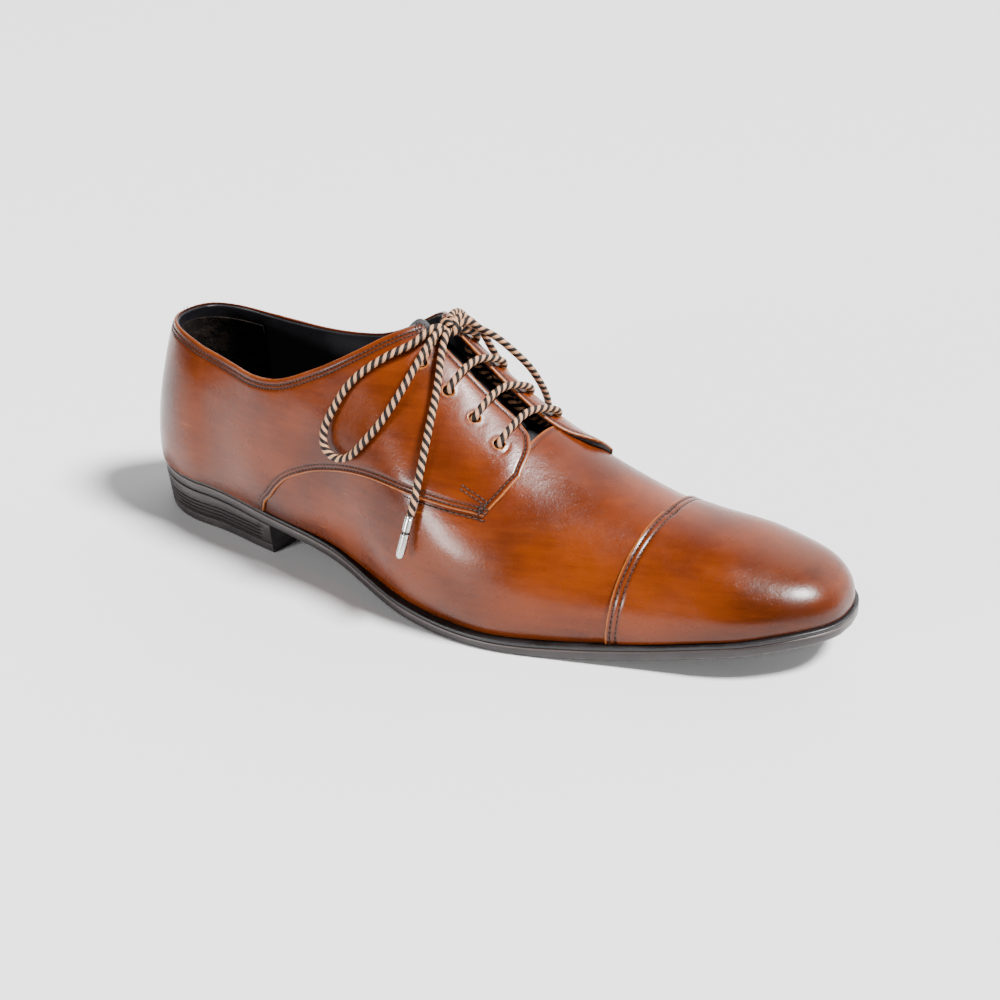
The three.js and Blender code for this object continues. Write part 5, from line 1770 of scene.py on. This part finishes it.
# ------------------------------------------------------------------ the lace
@dataclass
class Lacing:
    """The lace: its straight lacing, the bow, the tails and their metal ends."""

    uppers: Uppers
    diameter: float = 3.0
    lay: float = 6.8
    around: int = 32
    step: float = 0.45
    lobe: float = 0.055
    drawn: float = 0.94
    on_top: float = 4.7
    below: float = -3.6
    aglet_length: float = 17.0
    aglet_radius: float = 1.75
    knot_centre: tuple[float, float, float] = (140.6, -7.0, 102.8)
    loop_lateral: tuple = (
        (138.2, -14.8, 104), (134.4, -23.2, 99.9), (127.7, -30.2, 95.9), (120.3, -35.9, 90.1),
        (115, -39.6, 83.8), (110.6, -43.2, 74.8), (108, -45.8, 66.8), (109.4, -47.6, 60.6),
        (115.2, -48.8, 58), (121.6, -48.8, 60.2), (127.9, -47.6, 67.2), (133.8, -44.2, 75.6),
        (138, -38.8, 84.8), (140.1, -31, 93.4), (140.6, -23.2, 99.3), (140.6, -15.4, 102.9))
    loop_medial: tuple = (
        (144.2, 1, 103), (146.6, 4.2, 99.9), (151.8, 8.6, 95.6), (156.6, 13, 89.6), (160.6, 18.4, 82.2),
        (162.6, 23.4, 74.4), (163, 28.6, 66), (161.4, 32.4, 58.4), (156.8, 34.6, 53.4), (151, 35, 54),
        (147.4, 33.2, 60.2), (145.6, 29.2, 68.6), (144.4, 24.2, 77.4), (143.6, 18.4, 86),
        (142.2, 12.2, 95.6), (140.2, 6, 101.8), (139.6, 1.8, 104))
    tail_lateral: tuple = (
        (143.2, -14, 101.8), (144.6, -18.8, 97.4), (146.9, -24, 92.4), (148.9, -28.8, 87.2),
        (150.4, -33.4, 82), (151.6, -37.8, 77.1), (152.6, -41.6, 72.2), (153.3, -45, 67.2),
        (153.9, -48.2, 62), (154.2, -51.1, 56.4), (154.1, -53.3, 51.4), (153.6, -55.1, 46.3))
    tail_medial: tuple = (
        (136.6, 0.2, 104.4), (135, 7, 103.4), (133.6, 13.6, 99.4), (132.4, 19.8, 92.6), (131.2, 24.9, 84.8),
        (130, 28.8, 76), (128.9, 31.6, 68.6), (128.3, 33.2, 61.4), (128.1, 34.2, 54.4), (128.2, 34.9, 47.4))

    def tube(self, name: str, path: Array) -> Object:
        """A round lace along a path, with raised strands and a uv map that counts turns.

        Args:
            name: the piece's name.
            path: evenly spaced points, in the shoe's millimetres.

        Returns:
            The lace.
        """
        way = unit(np.gradient(path, axis=0))
        side = unit(np.cross(way[0], (0.3, 0.2, 1.0)))
        sides = [side]
        for direction in way[1:]:
            side = unit(side - direction * (side @ direction))
            sides.append(side)
        sides = np.array(sides)
        ups = np.cross(way, sides)
        along = np.concatenate([[0], np.cumsum(np.linalg.norm(np.diff(path, axis=0), axis=1))]) / self.lay
        turn = np.arange(self.around) / self.around
        strand = (turn[None] + along[:, None]) * 4
        bulge = np.abs(np.sin(math.pi * strand)) ** 0.6
        reach = self.diameter / 2 * self.drawn * (1 - self.lobe + 1.6 * self.lobe * bulge)[..., None]
        angle = turn * 2 * math.pi
        rings = path[:, None] + reach * (np.cos(angle)[None, :, None] * sides[:, None]
                                         + np.sin(angle)[None, :, None] * ups[:, None])
        count, around = rings.shape[:2]
        mesh = bpy.data.meshes.new(name)
        index = np.arange(count * around).reshape(count, around)
        beside = np.roll(index, -1, axis=1)
        quads = np.stack([index[:-1], beside[:-1], beside[1:], index[1:]], axis=-1).reshape(-1, 4)
        faces = [*map(list, quads.tolist()), list(map(int, index[0][::-1])), list(map(int, index[-1]))]
        mesh.from_pydata(to_frame(rings.reshape(-1, 3)).tolist(), [], faces)
        uv = mesh.uv_layers.new(name="UVMap")
        ring_of, place_of = np.divmod(np.arange(count * around), around)
        corners = np.zeros((len(mesh.loops), 2), np.float32)
        last = np.tile(np.arange(around) == around - 1, count - 1)
        second = last[:, None] & np.array([False, True, True, False])
        corners[:quads.size, 0] = ((place_of[quads] + second * around) / around).ravel()
        corners[:quads.size, 1] = along[ring_of[quads]].ravel()
        uv.data.foreach_set("uv", corners.ravel())
        mesh.shade_smooth()
        return placed(name, mesh)

    def hole_way(self, side: Side, number: int, shift: float) -> list[Array]:
        """Places at one hole: on top of the facing, in the hole and under the facing."""
        x, u = self.uppers.lace_places[side][number]
        spots = ((x, u + 0.035, self.on_top), (x, u, 2.9), (x, u, -1.5), (x + shift, u, self.below))
        return [LAST.spot(side, *place) for place in spots]

    def lacing_way(self) -> list[Array]:
        """The straight lacing: from the bow through all eight holes and back to the bow."""
        def hole(side: Side, number: int, shift: float, back: bool = False) -> list[Array]:
            """The way through a hole, or back out of it."""
            way = self.hole_way(side, number, shift)
            return way[::-1] if back else way

        def bar(number: int, back: bool = False) -> list[Array]:
            """The stretch across the facings."""
            x = self.uppers.lace_places[LATERAL][number][0]
            way = [LAST.spot(LATERAL, x + 0.8, 0.94, self.on_top + 0.4),
                   LAST.spot(MEDIAL, x + 3.2, 0.955, self.on_top + 0.5)]
            return way[::-1] if back else way

        def passing(number: int, aside: float) -> Array:
            """A hidden run beside a hole that it passes."""
            x, u = self.uppers.lace_places[MEDIAL][number]
            return LAST.spot(MEDIAL, x, u + aside, self.below)

        return [np.array((138.3, -13.3, 100.9)),
                *hole(LATERAL, 3, 3), *hole(LATERAL, 2, -3, True), *bar(2), *hole(MEDIAL, 2, 3),
                passing(1, 0.075), *hole(MEDIAL, 0, -3, True), *bar(0, True), *hole(LATERAL, 0, -3),
                *hole(LATERAL, 1, 3, True), *bar(1), *hole(MEDIAL, 1, -3),
                passing(2, -0.075), *hole(MEDIAL, 3, 3, True), np.array((141.8, -0.8, 100.4))]

    def lay_cord(self, name: str, points: Sequence, node: str) -> Object:
        """Args:
            name: the piece's name.
            points: the points of its route.
            node: the CAD node that it stands for.

        Returns:
            The stretch.
        """
        path = catmull_rom(np.array([np.asarray(p, float) for p in points]), self.step)
        obj = self.tube(name, path)
        finished(obj, FINISHES.lace, replaces=[node])
        return obj

    def aglet(self, name: str, tail: Sequence, node: str) -> Object:
        """A metal lace end with a ring groove and a rounded tip."""
        end, before = np.array(tail[-1], float), np.array(tail[-2], float)
        axis = unit(end - before)
        r, total = self.aglet_radius, self.aglet_length
        groove = total * 0.4
        profile = [(0.0, 1.52), (0.12, r - 0.05), (0.35, r), (0.75, r), (0.95, r - 0.16), (1.2, r - 0.16),
                   (1.4, r), (groove - 0.7, r), (groove - 0.5, r - 0.22), (groove, r - 0.26),
                   (groove + 0.5, r - 0.22), (groove + 0.7, r), (total - 2.2, r - 0.03),
                   (total - 1.1, r - 0.22), (total - 0.45, r - 0.62), (total - 0.1, r - 1.15), (total, 0.2)]
        circle = circle_across(axis, 40)
        rings = np.stack([end + axis * z + circle * radius for z, radius in profile])
        obj = loft(name, rings, smooth_angle=35)
        along = (vertices_mm(obj) - end) @ axis
        # dark: painted shade in the ring groove
        set_attribute(obj, "dark", np.exp(-((along - groove) / 0.62) ** 6))
        return finished(obj, FINISHES.silver, replaces=[node])

    def knot(self) -> Object:
        """The knot: the lace wrapped round the feet of the loops."""
        t = np.linspace(0, 1, 60)
        angle = 2 * math.pi * (1.9 * t + 0.1)
        wrap = np.stack([2.9 * np.cos(angle) * (1 - 0.12 * np.sin(math.pi * t)),
                         -3.0 + 5.4 * t + 0.7 * np.sin(angle), 2.4 * np.sin(angle)], axis=1)
        path = resample(wrap + np.array(self.knot_centre), self.step)
        return finished(self.tube("bow_knot", path), FINISHES.lace, replaces=["lace_knot"])

    def build(self) -> None:
        """Makes the whole lace."""
        knot = self.knot()
        self.lay_cord("straight_lacing", self.lacing_way(), "lace_lacing")
        for label, loop in (("lateral", self.loop_lateral), ("medial", self.loop_medial)):
            self.lay_cord(f"{label}_bow_loop", self.into_knot(loop, True), f"lace_loop_{label}")
        for label, tail in (("lateral", self.tail_lateral), ("medial", self.tail_medial)):
            end = self.aglet(f"{label}_lace_end", tail, f"aglet_{label}")
            self.lay_cord(f"{label}_lace_tail", self.into_knot(tail, False), f"lace_tail_{label}")

    def into_knot(self, points: Sequence, both: bool) -> list:
        """A route run on into the knot at its start, or at both ends."""
        def reach(point: tuple) -> Array:
            """A place half way into the knot."""
            return np.array(self.knot_centre) + (np.array(point, float) - self.knot_centre) * 0.35

        ends = [reach(points[-1])] if both else []
        return [reach(points[0]), *points, *ends]


# ------------------------------------------------------------------ pieces that keep their CAD shape
class KeptPieces:
    """The CAD nodes whose shape is right as it is, with the finish of each name or start of a name."""

    FINISH_OF = {"toe_puff": FINISHES.stiffener, "heel_counter": FINISHES.stiffener,
                 "insole_board": FINISHES.insole, "heel_seat_filler": FINISHES.insole,
                 "cork_filler": FINISHES.cork, "shank": FINISHES.shank,
                 "heel_nail_": FINISHES.nail, "eyelet_": FINISHES.eyelet}

    def dress(self) -> None:
        """Puts the finishes on the nodes."""
        wanted = {name: material for start, material in self.FINISH_OF.items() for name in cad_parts
                  if name == start or (start.endswith("_") and name.startswith(start))}
        for name, material in wanted.items():
            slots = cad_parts[name].data.materials
            slots.clear()
            slots.append(material)
            log.info("%s: kept, finished in %s", name, material.name)


# ------------------------------------------------------------------ the studio
@dataclass
class Studio:
    """Floor, light and camera."""

    azimuth: float = 31.7
    elevation: float = 26.13
    lens: float = 61.69
    eye: tuple[float, float, float] = (479.4, -519.4, 330.5)
    key: float = 10.0
    box: float = 17.0
    fill: float = 8.0
    room: float = 0.03
    wall: float = 2.0
    backdrop: float = 2.5
    reach: float = 4.0
    clearance: float = 0.0002

    def camera(self) -> None:
        """The camera, looking along its azimuth and elevation."""
        data = bpy.data.cameras.new("camera")
        data.lens, data.sensor_width = self.lens, 36.0
        data.clip_start, data.clip_end = 0.01, 20.0
        camera = placed("camera", data)
        turn = self.toward(self.azimuth, self.elevation).to_track_quat("Z", "Y").to_matrix().to_4x4()
        camera.matrix_world = Matrix.Translation(Vector(to_frame(np.array(self.eye)))) @ turn
        bpy.context.scene.camera = camera

    def floor(self) -> None:
        """A plain pale floor."""
        mesh = bpy.data.meshes.new("floor")
        corners = ((-1, -1), (1, -1), (1, 1), (-1, 1))
        mesh.from_pydata([(x * self.reach, y * self.reach, -self.clearance) for x, y in corners], [],
                         [(0, 1, 2, 3)])
        obj = placed("floor", mesh)
        material = bpy.data.materials.new("pale_floor")
        material.use_nodes = True
        shader = material.node_tree.nodes["Principled BSDF"]
        shader.inputs["Base Color"].default_value = (0.9, 0.9, 0.9, 1)
        shader.inputs["Roughness"].default_value = 0.6
        mesh.materials.append(material)

    @staticmethod
    def toward(azimuth: float, elevation: float) -> Vector:
        """The unit direction of an azimuth and an elevation, in degrees."""
        a, e = math.radians(azimuth), math.radians(elevation)
        return Vector((math.sin(a) * math.cos(e), -math.cos(a) * math.cos(e), math.sin(e)))

    def lamp(self, name: str, kind: str, azimuth: float, elevation: float, distance: float,
             **settings: object) -> Object:
        """Hangs one lamp that looks at the shoe.

        Args:
            name: its name.
            kind: its type.
            azimuth: where it hangs, in degrees.
            elevation: how high it hangs, in degrees.
            distance: how far from the shoe, in metres.
            settings: the light's properties.

        Returns:
            The lamp.
        """
        data = bpy.data.lights.new(name, kind)
        for key, value in settings.items():
            setattr(data, key, value)
        light = placed(name, data)
        way = self.toward(azimuth, elevation)
        turn = way.to_track_quat("Z", "Y").to_matrix().to_4x4()
        light.matrix_world = Matrix.Translation(way * distance + Vector((0, 0, 0.05))) @ turn
        return light

    def light(self) -> None:
        """A soft key from above, a soft box in front, and a room that is brightest behind the shoe."""
        self.lamp("soft_key", "SUN", 104, 57, 2.0, energy=self.key, angle=math.radians(15))
        self.lamp("front_box", "AREA", -18, 11, 1.6, shape="RECTANGLE", size=0.38, size_y=0.28,
                  energy=self.box)
        fill = self.lamp("fill_sheet", "AREA", -5, 35, 2.4, shape="SQUARE", size=2.0, energy=self.fill)
        fill.visible_glossy = False
        world = bpy.data.worlds.new("pale_room")
        world.use_nodes = True
        nodes = Nodes(world.node_tree)
        background = world.node_tree.nodes["Background"]
        way = nodes.add("ShaderNodeSeparateXYZ", {0: nodes.add("ShaderNodeTexCoord").outputs["Generated"]})
        behind = nodes.range(way.outputs[1], 0.3, 0.9, self.room, self.wall)
        seen = nodes.add("ShaderNodeLightPath").outputs["Is Camera Ray"]
        strength = nodes.add("ShaderNodeMix", {0: seen, 2: behind, 3: self.backdrop}, data_type="FLOAT")
        nodes.fill(background, {"Strength": strength.outputs[0], "Color": (1, 1, 1, 1)})
        bpy.context.scene.world = world


def main() -> None:
    """Builds the shoe in order: camera and lace first, then the upper, the inside and the bottom."""
    logging.basicConfig(level=logging.INFO, format="%(message)s")
    studio, uppers = Studio(), Uppers()
    studio.camera()
    Lacing(uppers).build()
    uppers.build()
    Inside(uppers).build()
    Bottom().build()
    KeptPieces().dress()
    studio.floor()
    studio.light()


if __name__ == "__main__":
    main()
